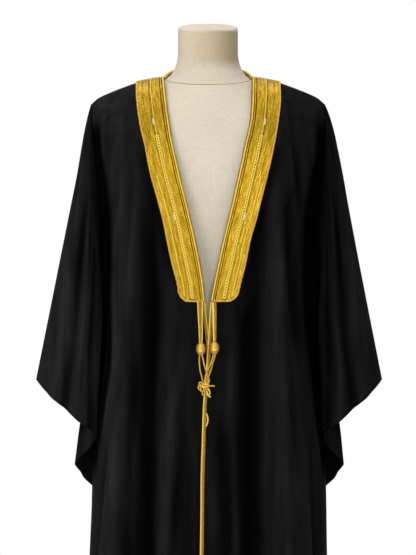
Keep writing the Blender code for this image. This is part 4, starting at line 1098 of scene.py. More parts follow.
def pin_seams(grid, side, facing_sign):
    """Put the last column back on the side seam."""
    z = grid[:, -1, 2]
    grid[:, -1, 0] = side * half_width(side, z)
    grid[:, -1, 1] = facing_sign * (armhole_half(z) + SEAM_GAP / 2)


def front_cloth(side):
    """Outer points and normals of one front."""
    name = side_name(side)
    edge_z, band_z, seam_z = (heights(top, ROWS)[:, 0] for top in
                              (NECK_POINT_Z, shoulder_z(BAND_TOP_X), SHOULDER_END_Z))
    edge_x = look_up(FRONT_EDGES, "z", name, edge_z)[:, None]
    band_x = look_up(BAND_LINE, "z", name, band_z)[:, None]
    seam_x = half_width(side, seam_z)[:, None]
    power = look_up(SIDES, "z", "square", seam_z)[:, None]
    at = np.linspace(0.0, BAND_COLUMNS + FRONT_COLUMNS, (BAND_COLUMNS + FRONT_COLUMNS) * FINE + 1)
    on_band = edge_x + (band_x - edge_x) * np.minimum(at / BAND_COLUMNS, 1.0)
    first = np.arcsin((band_x / seam_x) ** (power / 2))
    turn = first + (math.pi / 2 - first) * np.maximum(at - BAND_COLUMNS, 0.0) / FRONT_COLUMNS
    x = np.where(at <= BAND_COLUMNS, on_band, seam_x * np.sin(turn) ** (2 / power))
    z = heights(shoulder_z(x[0]), ROWS)
    y = -depth_at("front", side, x, z)
    lap = ease((LAP_TOP_Z - z) / (LAP_TOP_Z - LAP_FULL_Z)) * np.exp(-(x - edge_x) / LAP_REACH)
    y = y + lap * (LAP_BACK if side < 0 else -LAP_FRONT)
    grid = np.stack((side * x, y, z), axis=-1)
    under_band = np.clip((at - BAND_COLUMNS + 1) / STIFF_BLEND, 0.0, 1.0)
    soft = under_band + (1.0 - under_band) * np.clip(COARSE_ROW - BAND_BOTTOM_ROW, 0.0, 1.0)
    folds = FRONT_RIGHT_FOLDS if side < 0 else FRONT_LEFT_FOLDS
    creases = FRONT_RIGHT_CREASES if side < 0 else FRONT_LEFT_CREASES
    grid, depth = push_folds(grid, -side * grid_normals(grid), folds, creases, soft)
    pin_seams(grid, side, -1)
    # Painted shade and highlight: the folds, the channel beside the sleeve and the hollow beside the band
    shades["wool_front_" + name] = fold_shade(depth) * beside_sleeve(side, grid) * beside_band(side, grid)
    return grid, -side * grid_normals(grid)


# %% [markdown]
# The back is one piece with a scooped neck. Half of it is laid out from the centre: along the
# neckline, over the band's shoulder part and on to the armhole. The other half is its mirror, and the
# folds come last, because they aren't the same on both halves.

# %% The back's surface
def back_top(at):
    """Top points of the back's columns: on the neckline, then along the shoulder line."""
    turn = math.pi / 2 * (1.0 - np.minimum(at / NECK_COLUMNS, 1.0))
    past_band = np.clip((at - NECK_COLUMNS) / BACK_BAND_COLUMNS, 0.0, 1.0)
    past_end = np.clip((at - NECK_COLUMNS - BACK_BAND_COLUMNS) / BACK_COLUMNS, 0.0, 1.0)
    x = NECK_POINT_X * np.cos(turn) + (BAND_TOP_X - NECK_POINT_X) * past_band
    x = x + (SHOULDER_END_X - BAND_TOP_X) * np.sin(past_end * math.pi / 2)
    rise = BACK_NECK_RISE * ease(np.sin(turn) / NECK_RISE_BLEND)
    z = np.where(at <= NECK_COLUMNS, NECK_POINT_Z + rise, shoulder_z(x))
    return x, SEAM_GAP / 2 + BACK_NECK_DEPTH * np.sin(turn), z


def back_half(side):
    """Outer points of half of the back, from the centre to the side seam."""
    columns = NECK_COLUMNS + BACK_BAND_COLUMNS + BACK_COLUMNS
    at = np.linspace(0.0, columns, columns * FINE + 1)
    top_x, top_y, top_z = back_top(at)
    z = heights(top_z, ROWS)
    seam_z = heights(SHOULDER_END_Z, ROWS)
    seam_x = half_width(side, seam_z)
    power = look_up(SIDES, "z", "square", seam_z)
    low_x = seam_x * np.sin(math.pi / 2 * at / columns) ** (2 / power)
    settled = ease((top_z - z) / (top_z - CHEST_Z + SETTLE_REACH))
    x = top_x * seam_x / SHOULDER_END_X * (1 - settled) + low_x * settled
    natural = depth_at("back", side, x, z)
    chest = depth_at("back", side, top_x, np.full_like(top_x, CHEST_Z))
    stand = np.where(z > CHEST_Z, np.maximum(1.0 - natural / chest, 0.0), 0.0)
    return np.stack((side * x, natural + (top_y - SEAM_GAP / 2) * stand, z), axis=-1)


def back_cloth():
    """Outer points and normals of the whole back."""
    grid = np.concatenate((back_half(-1)[:, ::-1], back_half(1)[:, 1:]), axis=1)
    grid, depth = push_folds(grid, grid_normals(grid), BACK_FOLDS, BACK_CREASES, np.ones(grid.shape[:2]))
    # Painted shade and highlight: the folds and the channels beside both sleeves
    shades["wool_back"] = fold_shade(depth) * beside_sleeve(-1, grid) * beside_sleeve(1, grid)
    pin_seams(grid, 1, 1)
    pin_seams(grid[:, ::-1], -1, 1)
    return grid, grid_normals(grid)


fronts = {side: front_cloth(side) for side in (-1, 1)}
back = back_cloth()
print("front grid", fronts[-1][0].shape, "normal faces", fronts[-1][1][100, 40].round(2))
print("back grid", back[0].shape, "normal faces", back[1][100, 100].round(2))

# %% [markdown]
# A sleeve is a wide flat tube. Its front and back layers turn in as a deep pleat next to the body,
# which makes the dark channel there, deepened by painted shade, and the stepped edge of the cuff. It
# could be cut flat and dropped, but the pleat has to lie where it does, so its rings are worked out
# one by one.

# %% Sleeve tables
SLEEVE_TIP_Z = 0.836
CUFF_LOW_Z = 0.588

# How far the pleat is turned in at the cuff, and how the rings and folds begin
FOLD_IN_FRONT = 0.069
FOLD_IN_BACK = 0.052
SLEEVE_ROLL = 0.13
SLEEVE_SPACING = 1.15

# Where the sleeve's underside lies beside the body
CUFF_SEAM_Y = 0.014
CUFF_SEAM_START = 0.7
UNDERARM_ROOM = 0.004
UNDERARM_ROOM_REACH = 0.05
SLEEVE_SEAM_GAP = 0.0005
SIDE_GAP = 0.0008
SIDE_GAP_AT_CUFF = 0.0024
SIDE_SPREAD = 0.0012
SIDE_SPREAD_START = 0.05
SIDE_SPREAD_FADE = (0.25, 0.55)
TUCK_BACK = 0.045
TUCK_IN = 0.012

# Outer edge of each sleeve, from the shoulder end to the tip of the cuff
SLEEVE_OUTLINE = table(
    EDGE,
    (1.4034, 0.2389, 0.2389),
    (1.39, 0.2443, 0.2462),
    (1.3667, 0.25, 0.2543),
    (1.3196, 0.2586, 0.2648),
    (1.2581, 0.2692, 0.2774),
    (1.196, 0.2819, 0.2885),
    (0.836, 0.3556, 0.36),
)

# Across half a sleeve, from the outer edge to the underarm: how far the pleat is turned in, and depth
PLEAT = "at turned depth"
FRONT_PLEAT = table(
    PLEAT,
    (0.000, 0.00, 0.000),
    (0.04, 0.07, -0.02),
    (0.1, 0.17, -0.036),
    (0.2, 0.34, -0.045),
    (0.4, 0.69, -0.049),
    (0.572, 1.00, -0.037),
    (0.64, 0.55, -0.027),
    (0.712, 0.00, -0.012),
    (0.8, 0.00, 0.000),
    (0.9, 0.00, 0.009),
    (1.000, 0.00, 0.014),
)
BACK_PLEAT = table(
    PLEAT,
    (0.000, 0.00, 0.000),
    (0.04, 0.07, 0.02),
    (0.1, 0.18, 0.039),
    (0.2, 0.37, 0.052),
    (0.4, 0.76, 0.06),
    (0.52, 1.00, 0.054),
    (0.6, 0.52, 0.047),
    (0.68, 0.00, 0.037),
    (0.8, 0.00, 0.028),
    (0.9, 0.00, 0.021),
    (1.000, 0.00, 0.014),
)

print("pleat rows:", len(FRONT_PLEAT), len(BACK_PLEAT))

# %% Sleeve creases
# Where each crease runs across half a sleeve at its top, middle and cuff, its half width and its depth
DRAPE = "at_top at_mid at_low width depth"
SLEEVE_FRONT_CREASES = table(
    DRAPE,
    (0.1, 0.13, 0.17, 0.04, 0.0045),
    (0.18, 0.24, 0.29, 0.035, -0.006),
    (0.26, 0.34, 0.4, 0.04, 0.007),
    (0.4, 0.46, 0.5, 0.032, -0.005),
    (0.62, 0.6, 0.64, 0.03, 0.003),
    (0.8, 0.82, 0.8, 0.03, 0.003),
)
SLEEVE_BACK_CREASES = table(
    DRAPE,
    (0.12, 0.15, 0.2, 0.04, 0.005),
    (0.22, 0.27, 0.32, 0.035, -0.006),
    (0.34, 0.38, 0.42, 0.038, 0.0065),
    (0.46, 0.5, 0.5, 0.034, -0.0045),
    (0.64, 0.66, 0.68, 0.032, 0.0035),
)
SLEEVE_POINTS = 103
SLEEVE_RINGS = 97
print("sleeve creases:", len(SLEEVE_FRONT_CREASES) + len(SLEEVE_BACK_CREASES))

# %% The sleeves' surfaces
def section_share(z, depth):
    """How far out the body panels reach at a depth, as a share of their half width."""
    facing = np.where(depth < 0, look_up(PROFILE, "drop", "front", SHOULDER_END_Z - z),
                      look_up(PROFILE, "drop", "back", SHOULDER_END_Z - z))
    power = look_up(SIDES, "z", "square", z)
    share = np.clip(np.abs(depth) / np.maximum(facing, 0.02), 0.0, 0.98)
    return (1.0 - share ** power) ** (1.0 / power)


print("body reaches", round(float(section_share(1.2, 0.05)), 3), "of its width there")

# %% Half a ring of a sleeve
def sleeve_half(side, pleats, turn_in, facing_sign, along, share, seam_z):
    """Points of one half of a sleeve ring, from its outer edge to the underarm."""
    name = side_name(side)
    outer_z = SHOULDER_END_Z + (SLEEVE_TIP_Z - SHOULDER_END_Z) * along
    outer = np.array([look_up(SLEEVE_OUTLINE, "z", name, outer_z), outer_z])
    under_z = UNDERARM_Z + (CUFF_LOW_Z - UNDERARM_Z) * along
    gap = SIDE_GAP + SIDE_GAP_AT_CUFF * along
    under = np.array([half_width(side, under_z) + gap, under_z])
    straight = under - outer
    inward = np.array([straight[1], -straight[0]]) / np.linalg.norm(straight)
    turned = look_up(pleats, "at", "turned", share) * turn_in * along
    flat = outer + share[:, None] * straight + turned[:, None] * inward
    fade_start, fade_end = SIDE_SPREAD_FADE
    spread = ease(along / SIDE_SPREAD_START) * (1.0 - ease((along - fade_start) / (fade_end - fade_start)))
    depth = look_up(pleats, "at", "depth", share)
    tuck = ease((along - 0.01) / 0.3)
    depth = depth + TUCK_BACK * tuck * ease((share - 0.66) / 0.34)
    flat[:, 0] = flat[:, 0] - TUCK_IN * tuck * ease((share - 0.84) / 0.16)
    limit = half_width(side, flat[:, 1]) * section_share(flat[:, 1], depth) + gap
    flat[:, 0] = np.maximum(flat[:, 0], limit + SIDE_SPREAD * spread)
    depth = depth - CUFF_SEAM_Y * ease((share - CUFF_SEAM_START) / (1.0 - CUFF_SEAM_START)) * (1.0 - along)
    room = ease((1.0 - share) / UNDERARM_ROOM_REACH) * (1.0 - along)
    depth = depth + facing_sign * UNDERARM_ROOM * room
    points = np.stack((side * flat[:, 0], depth, flat[:, 1]), axis=1)
    seam = np.stack((side * (half_width(side, seam_z) + SLEEVE_SEAM_GAP), facing_sign * armhole_half(seam_z),
                     seam_z), axis=1)
    return seam + (points - seam) * math.sin(math.pi / 2 * min(along / SLEEVE_ROLL, 1.0))


print("rings on a sleeve:", SLEEVE_RINGS)

# %% Sleeve creases and painted shade
def drape_depth(drapes, share, along):
    """Depth of the sleeve's long creases at each place."""
    total = np.zeros_like(share)
    for number, drape in enumerate(drapes):
        places = np.array([drape.at_top, drape.at_mid, drape.at_low])
        middle = smooth(np.array([0.0, 0.5, 1.0]), places, along)
        middle = middle + 0.012 * math.sin(along * 9.0 + number * 1.7)
        depth = drape.depth * (1.0 + 0.3 * math.sin(along * 13.0 + number * 2.3))
        total = total + depth * ease((along - 0.06) / 0.25) * np.exp(-(((share - middle) / drape.width) ** 2))
    return total


SLEEVE_DARK = 0.85
SLEEVE_DARK_START = 0.46
SLEEVE_LIGHT = 1.15
SLEEVE_TOP_SHADE = 0.55
SLEEVE_RISE = 0.45


def sleeve_shade(side, moves, inner, along):
    """Painted light and shade of a sleeve: its creases, its dark inner part, the pleat's light edge and a
    darker top.
    """
    start = SLEEVE_DARK_START + 0.1 * (1.0 - along)
    dark = ease((inner - start) / 0.22) * ease(along / 0.1)
    pleat_edge = ease((along - 0.8) / 0.12) * ease((inner - 0.58) / 0.08) * ease((1.02 - inner) / 0.1)
    dark = dark * (1.0 - 0.75 * pleat_edge)
    # Painted shade: darker towards the shoulder, lighter towards the cuff
    rising = SLEEVE_TOP_SHADE + SLEEVE_RISE * ease((along - 0.1) / 0.65)
    return fold_shade(moves * SLEEVE_LIGHT) * (1.0 - SLEEVE_DARK * dark) * rising


print("sleeve shade ready")

# %% The sleeves
def sleeve_cloth(side):
    """Outer points and normals of a sleeve: rings from the armhole to the cuff."""
    last = (len(TOP_FRACTIONS) + ARM_ROWS - 1) * FINE
    seam_z = heights(SHOULDER_END_Z, ROWS)[:last + 1, 0]
    seam_z = np.interp(np.linspace(0, last, SLEEVE_POINTS), np.arange(last + 1), seam_z)
    share = (SHOULDER_END_Z - seam_z) / (SHOULDER_END_Z - UNDERARM_Z)
    along_rings = np.linspace(0.0, 1.0, SLEEVE_RINGS) ** SLEEVE_SPACING
    rings = []
    moves = []
    for along in along_rings:
        front = sleeve_half(side, FRONT_PLEAT, FOLD_IN_FRONT, -1, along, share, seam_z)
        rear = sleeve_half(side, BACK_PLEAT, FOLD_IN_BACK, 1, along, share, seam_z)
        rings.append(np.concatenate((front, rear[-2:0:-1])))
        front_move = drape_depth(SLEEVE_FRONT_CREASES, share, along)
        rear_move = drape_depth(SLEEVE_BACK_CREASES, share, along)
        moves.append(np.concatenate((front_move, rear_move[-2:0:-1])))
    grid, moves = np.array(rings), np.array(moves)
    normals = side * grid_normals(grid, closed=True)
    grid = grid + normals * moves[..., None]
    inner = np.concatenate((share, share[-2:0:-1]))[None, :]
    # Painted shade and highlight of the sleeve, multiplied into the wool's colour
    shades["wool_sleeve_" + side_name(side)] = sleeve_shade(side, moves, inner, along_rings[:, None])
    return grid, side * grid_normals(grid, closed=True)


sleeves = {side: sleeve_cloth(side) for side in (-1, 1)}
print("sleeve grid", sleeves[1][0].shape)

# %% [markdown]
# Each surface becomes a mesh of quads with a UV map in metres, so that the weave keeps its scale.
# A point value holds the distance to the nearest hem, for the folded edge and its stitches. A
# second skin could be built by hand, but a Solidify modifier gives the wool its thickness inwards
# without moving the outside.

# %% Cloth meshes
def lengths_along(grid, axis):
    """Distance from the first point along rows or columns."""
    steps = np.linalg.norm(np.diff(grid, axis=axis), axis=-1)
    zero = np.zeros_like(np.take(steps, [0], axis=axis))
    return np.concatenate((zero, np.cumsum(steps, axis=axis)), axis=axis)


def surface_mesh(name, grid, normals, closed=False, values=()):
    """A mesh from a grid of points whose faces look along the normals."""
    rows, cols = grid.shape[:2]
    last = cols if closed else cols - 1
    row, col = np.meshgrid(np.arange(rows - 1), np.arange(last), indexing="ij")
    after = (col + 1) % cols
    quads = np.stack((row * cols + col, row * cols + after, (row + 1) * cols + after,
                      (row + 1) * cols + col), axis=-1).reshape(-1, 4)
    corner = grid.reshape(-1, 3)[quads[len(quads) // 2]]
    facing = np.cross(corner[1] - corner[0], corner[3] - corner[0])
    flipped = float(facing @ normals.reshape(-1, 3)[quads[len(quads) // 2][0]]) < 0
    if flipped:
        quads = quads[:, ::-1]
    data = bpy.data.meshes.new(name)
    data.from_pydata(grid.reshape(-1, 3).tolist(), [], quads.tolist())
    across = lengths_along(grid, 1)
    down = lengths_along(grid, 0)
    layer = data.uv_layers.new(name="cloth_metres")
    u = across.reshape(-1)[quads]
    seam = (quads % cols).max(axis=1) - (quads % cols).min(axis=1) > cols / 2
    wrap = across[:, -1].mean() + np.linalg.norm(grid[:, -1] - grid[:, 0], axis=1).mean()
    u = np.where(seam[:, None] & (quads % cols == 0), wrap, u)
    v = down.reshape(-1)[quads]
    layer.data.foreach_set("uv", np.stack((u, v), axis=-1).reshape(-1).astype(np.float32))
    for key, numbers in dict(values).items():
        value = data.attributes.new(key, "FLOAT", "POINT")
        value.data.foreach_set("value", numbers.reshape(-1).astype(np.float32))
    data.shade_smooth()
    data.update()
    return add_object(name, data)


def thicken(item, thickness):
    """Cloth thickness, inwards from the outer face."""
    shell = item.modifiers.new("thickness", "SOLIDIFY")
    shell.thickness = thickness
    shell.offset = -1.0
    shell.use_rim = True
    return item


def hem_distance(grid):
    """Distance of each point from the hem."""
    down = lengths_along(grid, 0)
    return down[-1:] - down


print("mesh makers ready")

# %% The five panels
cloth = {}
layouts = {"wool_back": (*back, False)}
for side in (-1, 1):
    layouts["wool_front_" + side_name(side)] = (*fronts[side], False)
    layouts["wool_sleeve_" + side_name(side)] = (*sleeves[side], True)
for name, (grid, normals, closed) in layouts.items():
    every = 2 if name == "wool_back" else 1
    shade = shades[name][:, ::every]
    grid, normals = grid[:, ::every], normals[:, ::every]
    values = {"hem": hem_distance(grid), "shade": shade}
    cloth[name] = thicken(surface_mesh(name, grid, normals, closed, values), CLOTH_WALL)
    print(name, "faces", len(cloth[name].data.polygons), "shade", shade.min().round(2), shade.max().round(2))

# %% [markdown]
# The wool is a fine, nearly black twill with a cool soft bloom where light grazes it. Its hem is
# folded once and sewn with small stitches, about a centimetre in from the edge. The fold and the
# stitches are too small to model, so the material draws them from the distance to the hem.

# %% Painted light and stitches
HEM_FOLD = 0.0095
STITCH_LINE = 0.0105
STITCH_HALF = 0.0011
STITCH_PITCH = 0.0042
# Painted light across the cloak: its width, and its tones from the wearer's right to the left
PAINTED_LIGHT_WIDTH = 0.72
PAINTED_LIGHT_TONES = table(
    "at tone",
    (0.1, 1.05),
    (0.2, 0.88),
    (0.27, 0.72),
    (0.33, 0.82),
    (0.43, 0.47),
    (0.56, 0.5),
    (0.67, 0.58),
    (0.77, 0.42),
    (0.9, 0.56),
)


def painted_wool_light(tree, place):
    """Painted light on the wool: it changes across the cloak, lightest at the wearer's right, grows lighter
    higher up and ripples at random.
    """
    x, _, z = xyz(tree, place)
    across = math_node(tree, "MULTIPLY_ADD", x, 1.0 / PAINTED_LIGHT_WIDTH, 0.5)
    painted_light = ramp(tree, across, tuple((row.at, (row.tone,) * 3) for row in PAINTED_LIGHT_TONES))
    upward = node(tree, "ShaderNodeMapRange")
    tree.links.new(z, upward.inputs["Value"])
    for key, value in (("From Min", 0.45), ("From Max", 1.3), ("To Min", 0.76), ("To Max", 1.16)):
        upward.inputs[key].default_value = value
    ripples = stretched_noise(tree, place, (62.0, 62.0, 5.0), 3.0)
    ripples = math_node(tree, "MULTIPLY_ADD", ripples, 1.5, 0.25)
    return math_node(tree, "MULTIPLY", math_node(tree, "MULTIPLY", painted_light, upward.outputs[0]), ripples)


def hem_stitches(tree, uv, hem):
    """A dashed line of small stitches beside the hem."""
    away = math_node(tree, "ABSOLUTE", math_node(tree, "SUBTRACT", hem, STITCH_LINE))
    line = math_node(tree, "SUBTRACT", 1.0, math_node(tree, "DIVIDE", away, STITCH_HALF))
    line = math_node(tree, "MAXIMUM", line, 0.0)
    dash = math_node(tree, "SINE", math_node(tree, "MULTIPLY", xyz(tree, uv)[0], 2 * math.pi / STITCH_PITCH))
    dash = math_node(tree, "GREATER_THAN", dash, -0.35)
    return math_node(tree, "MULTIPLY", math_node(tree, "MINIMUM", line, 1.0), dash)


print("nap and stitches ready")

# %% Black wool
TWILL_PER_METRE = 1100.0


def wool_material():
    """Fine black twill."""
    made, tree, shader = new_material("black_wool", (0.0105, 0.0105, 0.0122), 0.74)
    uv = node(tree, "ShaderNodeUVMap", uv_map="cloth_metres").outputs[0]
    place = node(tree, "ShaderNodeTexCoord").outputs["Object"]
    twill = add_threads(tree, uv, TWILL_PER_METRE, 0.55)
    slow = stretched_noise(tree, place, (16.0, 16.0, 5.0), 3.0)
    fuzz = stretched_noise(tree, uv, (900.0, 900.0, 1.0), 2.0)
    tone = ramp(tree, slow, ((0.3, (0.0074, 0.0074, 0.008)), (0.7, (0.013, 0.013, 0.0141))))
    # Painted shade and painted light: the point value times the painted light scales the colour, the specular
    # and the sheen
    shade = node(tree, "ShaderNodeAttribute", attribute_name="shade").outputs["Fac"]
    shade = math_node(tree, "MULTIPLY", shade, painted_wool_light(tree, place))
    tree.links.new(math_node(tree, "MULTIPLY", shade, 0.05), shader.inputs["Specular IOR Level"])
    tree.links.new(math_node(tree, "MULTIPLY", shade, 0.012), shader.inputs["Sheen Weight"])
    lit = node(tree, "ShaderNodeCombineXYZ")
    for socket in range(3):
        tree.links.new(shade, lit.inputs[socket])
    tone = blend_colours(tree, "MULTIPLY", 1.0, tone, lit.outputs[0])
    weave = ramp(tree, twill, ((0.0, (0.55, 0.55, 0.58)), (1.0, (1.25, 1.25, 1.25))))
    tone = blend_colours(tree, "MULTIPLY", 0.3, tone, weave)
    hem = node(tree, "ShaderNodeAttribute", attribute_name="hem").outputs["Fac"]
    stitch = hem_stitches(tree, uv, hem)
    tone = blend_colours(tree, "MIX", stitch, tone, (0.022, 0.022, 0.024))
    tree.links.new(tone, shader.inputs["Base Color"])
    tree.links.new(math_node(tree, "MULTIPLY_ADD", fuzz, 0.16, 0.66), shader.inputs["Roughness"])
    shader.inputs["Sheen Roughness"].default_value = 0.45
    shader.inputs["Sheen Tint"].default_value = (0.8, 0.86, 1.0, 1.0)
    folded = math_node(tree, "LESS_THAN", hem, HEM_FOLD)
    height = math_node(tree, "MULTIPLY_ADD", folded, 2.2, math_node(tree, "MULTIPLY", stitch, 1.4))
    first = bump(tree, shader, height, 0.00022)
    mixed = math_node(tree, "MULTIPLY_ADD", fuzz, 0.8, twill)
    bump(tree, shader, mixed, 0.00014, 0.8, first)
    return made


wool = wool_material()
for item in cloth.values():
    item.data.materials.append(wool)
print("wool on", len(cloth), "pieces")

# %% [markdown]
# The form is covered in natural linen. Its threads are uneven, with thick slubs that run both ways,
# and the cream colour drifts a little over the body. An even weave would look like plastic, so two
# noises that are drawn out crossways make the slubs. Painted shade darkens the neck's cover towards
# the wearer's left.

# %% Linen
LINEN_PER_METRE = 700.0
NECK_LOW = -14.7
NECK_SCALE = 10.0


def linen_material():
    """Natural linen with slubs both ways, and painted shade on the neck."""
    made, tree, shader = new_material("linen_cover", (0.735, 0.655, 0.535), 0.88)
    place = node(tree, "ShaderNodeTexCoord").outputs["Object"]
    x, _, z = xyz(tree, place)
    level = stretched_noise(tree, place, (55.0, 55.0, 900.0), 3.0)
    upright = stretched_noise(tree, place, (800.0, 800.0, 40.0), 3.0)
    drift = stretched_noise(tree, place, (6.0, 6.0, 5.0), 2.0)
    both = math_node(tree, "MULTIPLY", math_node(tree, "ADD", level, upright), 0.5)
    tone = ramp(tree, both, (
        (0.34, (0.585, 0.512, 0.402)), (0.5, (0.65, 0.575, 0.461)), (0.66, (0.7, 0.63, 0.52))))
    slow = ramp(tree, drift, ((0.3, (0.95, 0.945, 0.93)), (0.7, (1.03, 1.03, 1.03))))
    tone = blend_colours(tree, "MULTIPLY", 1.0, tone, slow)
    # Painted shade on the neck: darker towards the wearer's left, between the neck's base and its cap
    neck_shade_mask = ramp(tree, math_node(tree, "MULTIPLY_ADD", z, NECK_SCALE, NECK_LOW), (
        (0.00, (0.0, 0.0, 0.0)), (0.22, WHITE), (0.78, WHITE), (0.83, (0.0, 0.0, 0.0))))
    neck_painted_shade = ramp(tree, math_node(tree, "MULTIPLY_ADD", x, 8.0, 0.5), (
        (0.08, (1.06, 1.03, 0.99)), (0.46, (0.84, 0.78, 0.69)), (0.85, (0.62, 0.55, 0.45))))
    tone = blend_colours(tree, "MULTIPLY", neck_shade_mask, tone, neck_painted_shade)
    tree.links.new(tone, shader.inputs["Base Color"])
    weave = math_node(tree, "MULTIPLY", add_threads(tree, place, LINEN_PER_METRE, 0.0), 0.25)
    bump(tree, shader, math_node(tree, "MULTIPLY_ADD", both, 2.2, weave), 0.00028, 0.8)
    shader.inputs["Sheen Weight"].default_value = 0.15
    shader.inputs["Specular IOR Level"].default_value = 0.2
    return made


linen = linen_material()
print("made", linen.name)

# %% Painted metal
def metal_material():
    """Satin black paint on steel, rubbed a little."""
    made, tree, shader = new_material("dark_metal", (0.032, 0.032, 0.035), 0.36, 0.7)
    place = node(tree, "ShaderNodeTexCoord").outputs["Object"]
    scuffs = stretched_noise(tree, place, (60.0, 60.0, 60.0), 5.0)
    rubbed = ramp(tree, scuffs, ((0.35, (0.026, 0.026, 0.028)), (0.75, (0.052, 0.052, 0.055))))
    tree.links.new(rubbed, shader.inputs["Base Color"])
    tree.links.new(math_node(tree, "MULTIPLY_ADD", scuffs, 0.25, 0.24), shader.inputs["Roughness"])
    bump(tree, shader, stretched_noise(tree, place, (900.0, 900.0, 900.0), 2.0), 0.00005, 0.5)
    return made


metal = metal_material()
print("made", metal.name)

# %% [markdown]
# ## Gold bands
# Each band is a stiff strip of laid thread, thin at its edges, with grooves that part its rows. It
# could be a flat ribbon with a bump, but its edges would then look like paper. The strip is laid on
# the cloth at a fine grid with its own section, and its lower outer corner is rounded.

# %% The section of a band
BAND_SECTION = table(
    "at height",
    (0.000, 0.0004),
    (0.02, 0.001),
    (0.085, 0.001),
    (0.1, 0.0003),
    (0.118, 0.0009),
    (0.158, 0.001),
    (0.178, 0.0003),
    (0.205, 0.0012),
    (0.32, 0.0015),
    (0.425, 0.0011),
    (0.45, 0.0005),
    (0.54, 0.0005),
    (0.57, 0.0002),
    (0.6, 0.001),
    (0.74, 0.0011),
    (0.765, 0.0007),
    (0.8, 0.0011),
    (0.925, 0.0009),
    (0.945, 0.0004),
    (0.975, 0.0008),
    (1.000, 0.0002),
)
BAND_WALL = 0.0014
BAND_LIFT = 0.0011
BRAID_LIFT = 0.0016
BAND_ACROSS = 60
BAND_ALONG = 250
BACK_BAND_ALONG = 190
BACK_BAND_ROWS = 3
BACK_BAND_LEAST = 0.3
BACK_RELIEF = 0.8
CORNER_START = 0.62
CORNER_RISE = 0.62
ROW_SPACING = 0.9
WOBBLE = 0.00012


def relief(across):
    """Height of the band's section."""
    return smooth(column(BAND_SECTION, "at"), column(BAND_SECTION, "height"), across)


print("thickest row:", max(row.height for row in BAND_SECTION))

# %% Places on the cloth
def sampled(values, row, col):
    """Values of a fine grid read between its rows and columns."""
    row = np.clip(row, 0.0, values.shape[0] - 1.001)
    col = np.clip(col, 0.0, values.shape[1] - 1.001)
    r, c = row.astype(int), col.astype(int)
    a, b = (row - r)[..., None], (col - c)[..., None]
    top = values[r, c] * (1 - b) + values[r, c + 1] * b
    low = values[r + 1, c] * (1 - b) + values[r + 1, c + 1] * b
    return top * (1 - a) + low * a


def lifted(surface, row, col, lift):
    """Points over a cloth grid, between its rows and columns, at a height above it."""
    grid, normals = surface
    return sampled(grid, row, col) + unit(sampled(normals, row, col)) * np.asarray(lift)[..., None]


def on_front(side, across, down, lift):
    """Points on a front's band: across it from 0 to 1, down it in coarse rows, and lifted."""
    return lifted(fronts[side], down * FINE, across * BAND_COLUMNS * FINE, lift)


def band_foot(across):
    """The lowest coarse row of the band at each place across it, rising at the round corner."""
    past = np.clip((across - CORNER_START) / (1.0 - CORNER_START), 0.0, 1.0)
    return BAND_BOTTOM_ROW - CORNER_RISE * (1.0 - np.sqrt(1.0 - past ** 2))


print("foot of the band at its corner:", round(float(band_foot(1.0)), 2))

# %% Band strips
def band_mesh(name, points, normals, across):
    """A thin strip with its UV map: place across it, and metres along it."""
    item = surface_mesh(name, points, normals)
    rows, cols = points.shape[:2]
    along = np.broadcast_to(lengths_along(points, 0).mean(axis=1)[:, None], (rows, cols)).reshape(-1)
    across = np.broadcast_to(across, (rows, cols)).reshape(-1)
    index = np.empty(len(item.data.loops), dtype=np.int32)
    item.data.loops.foreach_get("vertex_index", index)
    layer = item.data.uv_layers.new(name="band")
    marks = np.stack((across[index], along[index]), axis=-1)
    layer.data.foreach_set("uv", marks.reshape(-1).astype(np.float32))
    item.data.materials.append(zari)
    return thicken(item, BAND_WALL)


bands = {}
across = np.linspace(0.0, 1.0, BAND_ACROSS)[None, :]
for side in (-1, 1):
    down = np.linspace(0.0, 1.0, BAND_ALONG)[:, None] ** ROW_SPACING * band_foot(across)
    wide = np.broadcast_to(across, down.shape)
    wobble = WOBBLE * np.sin(down * 61.0 + wide * 37.0) * np.sin(down * 23.0 - wide * 61.0)
    points = on_front(side, wide, down, BAND_LIFT + BAND_WALL + relief(wide) + wobble)
    normals = sampled(fronts[side][1], down * FINE, wide * BAND_COLUMNS * FINE)
    name = "band_" + side_name(side)
    bands[name] = band_mesh(name, points, normals, across)

centre = (back[0].shape[1] - 1) // 2
neck_reach = NECK_COLUMNS * FINE
reach = neck_reach + BACK_BAND_COLUMNS * FINE
col = np.linspace(centre - reach, centre + reach, BACK_BAND_ALONG)[:, None]
past = np.clip(np.abs(col - centre) - neck_reach, 0.0, None) / (BACK_BAND_COLUMNS * FINE)
width = np.maximum(np.sqrt(np.clip(1.0 - past ** 2, 0.0, 1.0)), BACK_BAND_LEAST)
row = across * BACK_BAND_ROWS * FINE * width
col = np.broadcast_to(col, row.shape)
lift = BRAID_LIFT + BAND_WALL + relief(np.broadcast_to(across, row.shape)) * BACK_RELIEF
normals = unit(sampled(back[1], row, col))
bands["band_back"] = band_mesh("band_back", lifted(back, row, col, lift), normals, across)
for name, item in bands.items():
    take_place(item, "gold_" + name)
print({name: len(item.data.polygons) for name, item in bands.items()})

# %% [markdown]
# Laid cords finish the bands: a piping along the front edge, a chain of stitches down the middle, a
# thin raised line near the outer edge and a small piping round the rim. Beside the chain sit four
# short silver stitches. Drawn in the material they would stay flat, so they are cords that follow
# the band.

# %% Cords on the bands
CORD_TOP = 0.05
PIPING_AT = 0.058
RAISED_AT = 0.772
RIM_AT = 0.985
RIM_POINTS = 330
FOOT_POINTS = 90
RIM_BUMPS = 110
STITCH_LENGTH = 0.0125
STITCH_REACH = 0.13
SILVER_STITCHES = table("z at", (1.3633, 0.53), (1.175, 0.56))
RIM_LIFT = BAND_LIFT + BAND_WALL


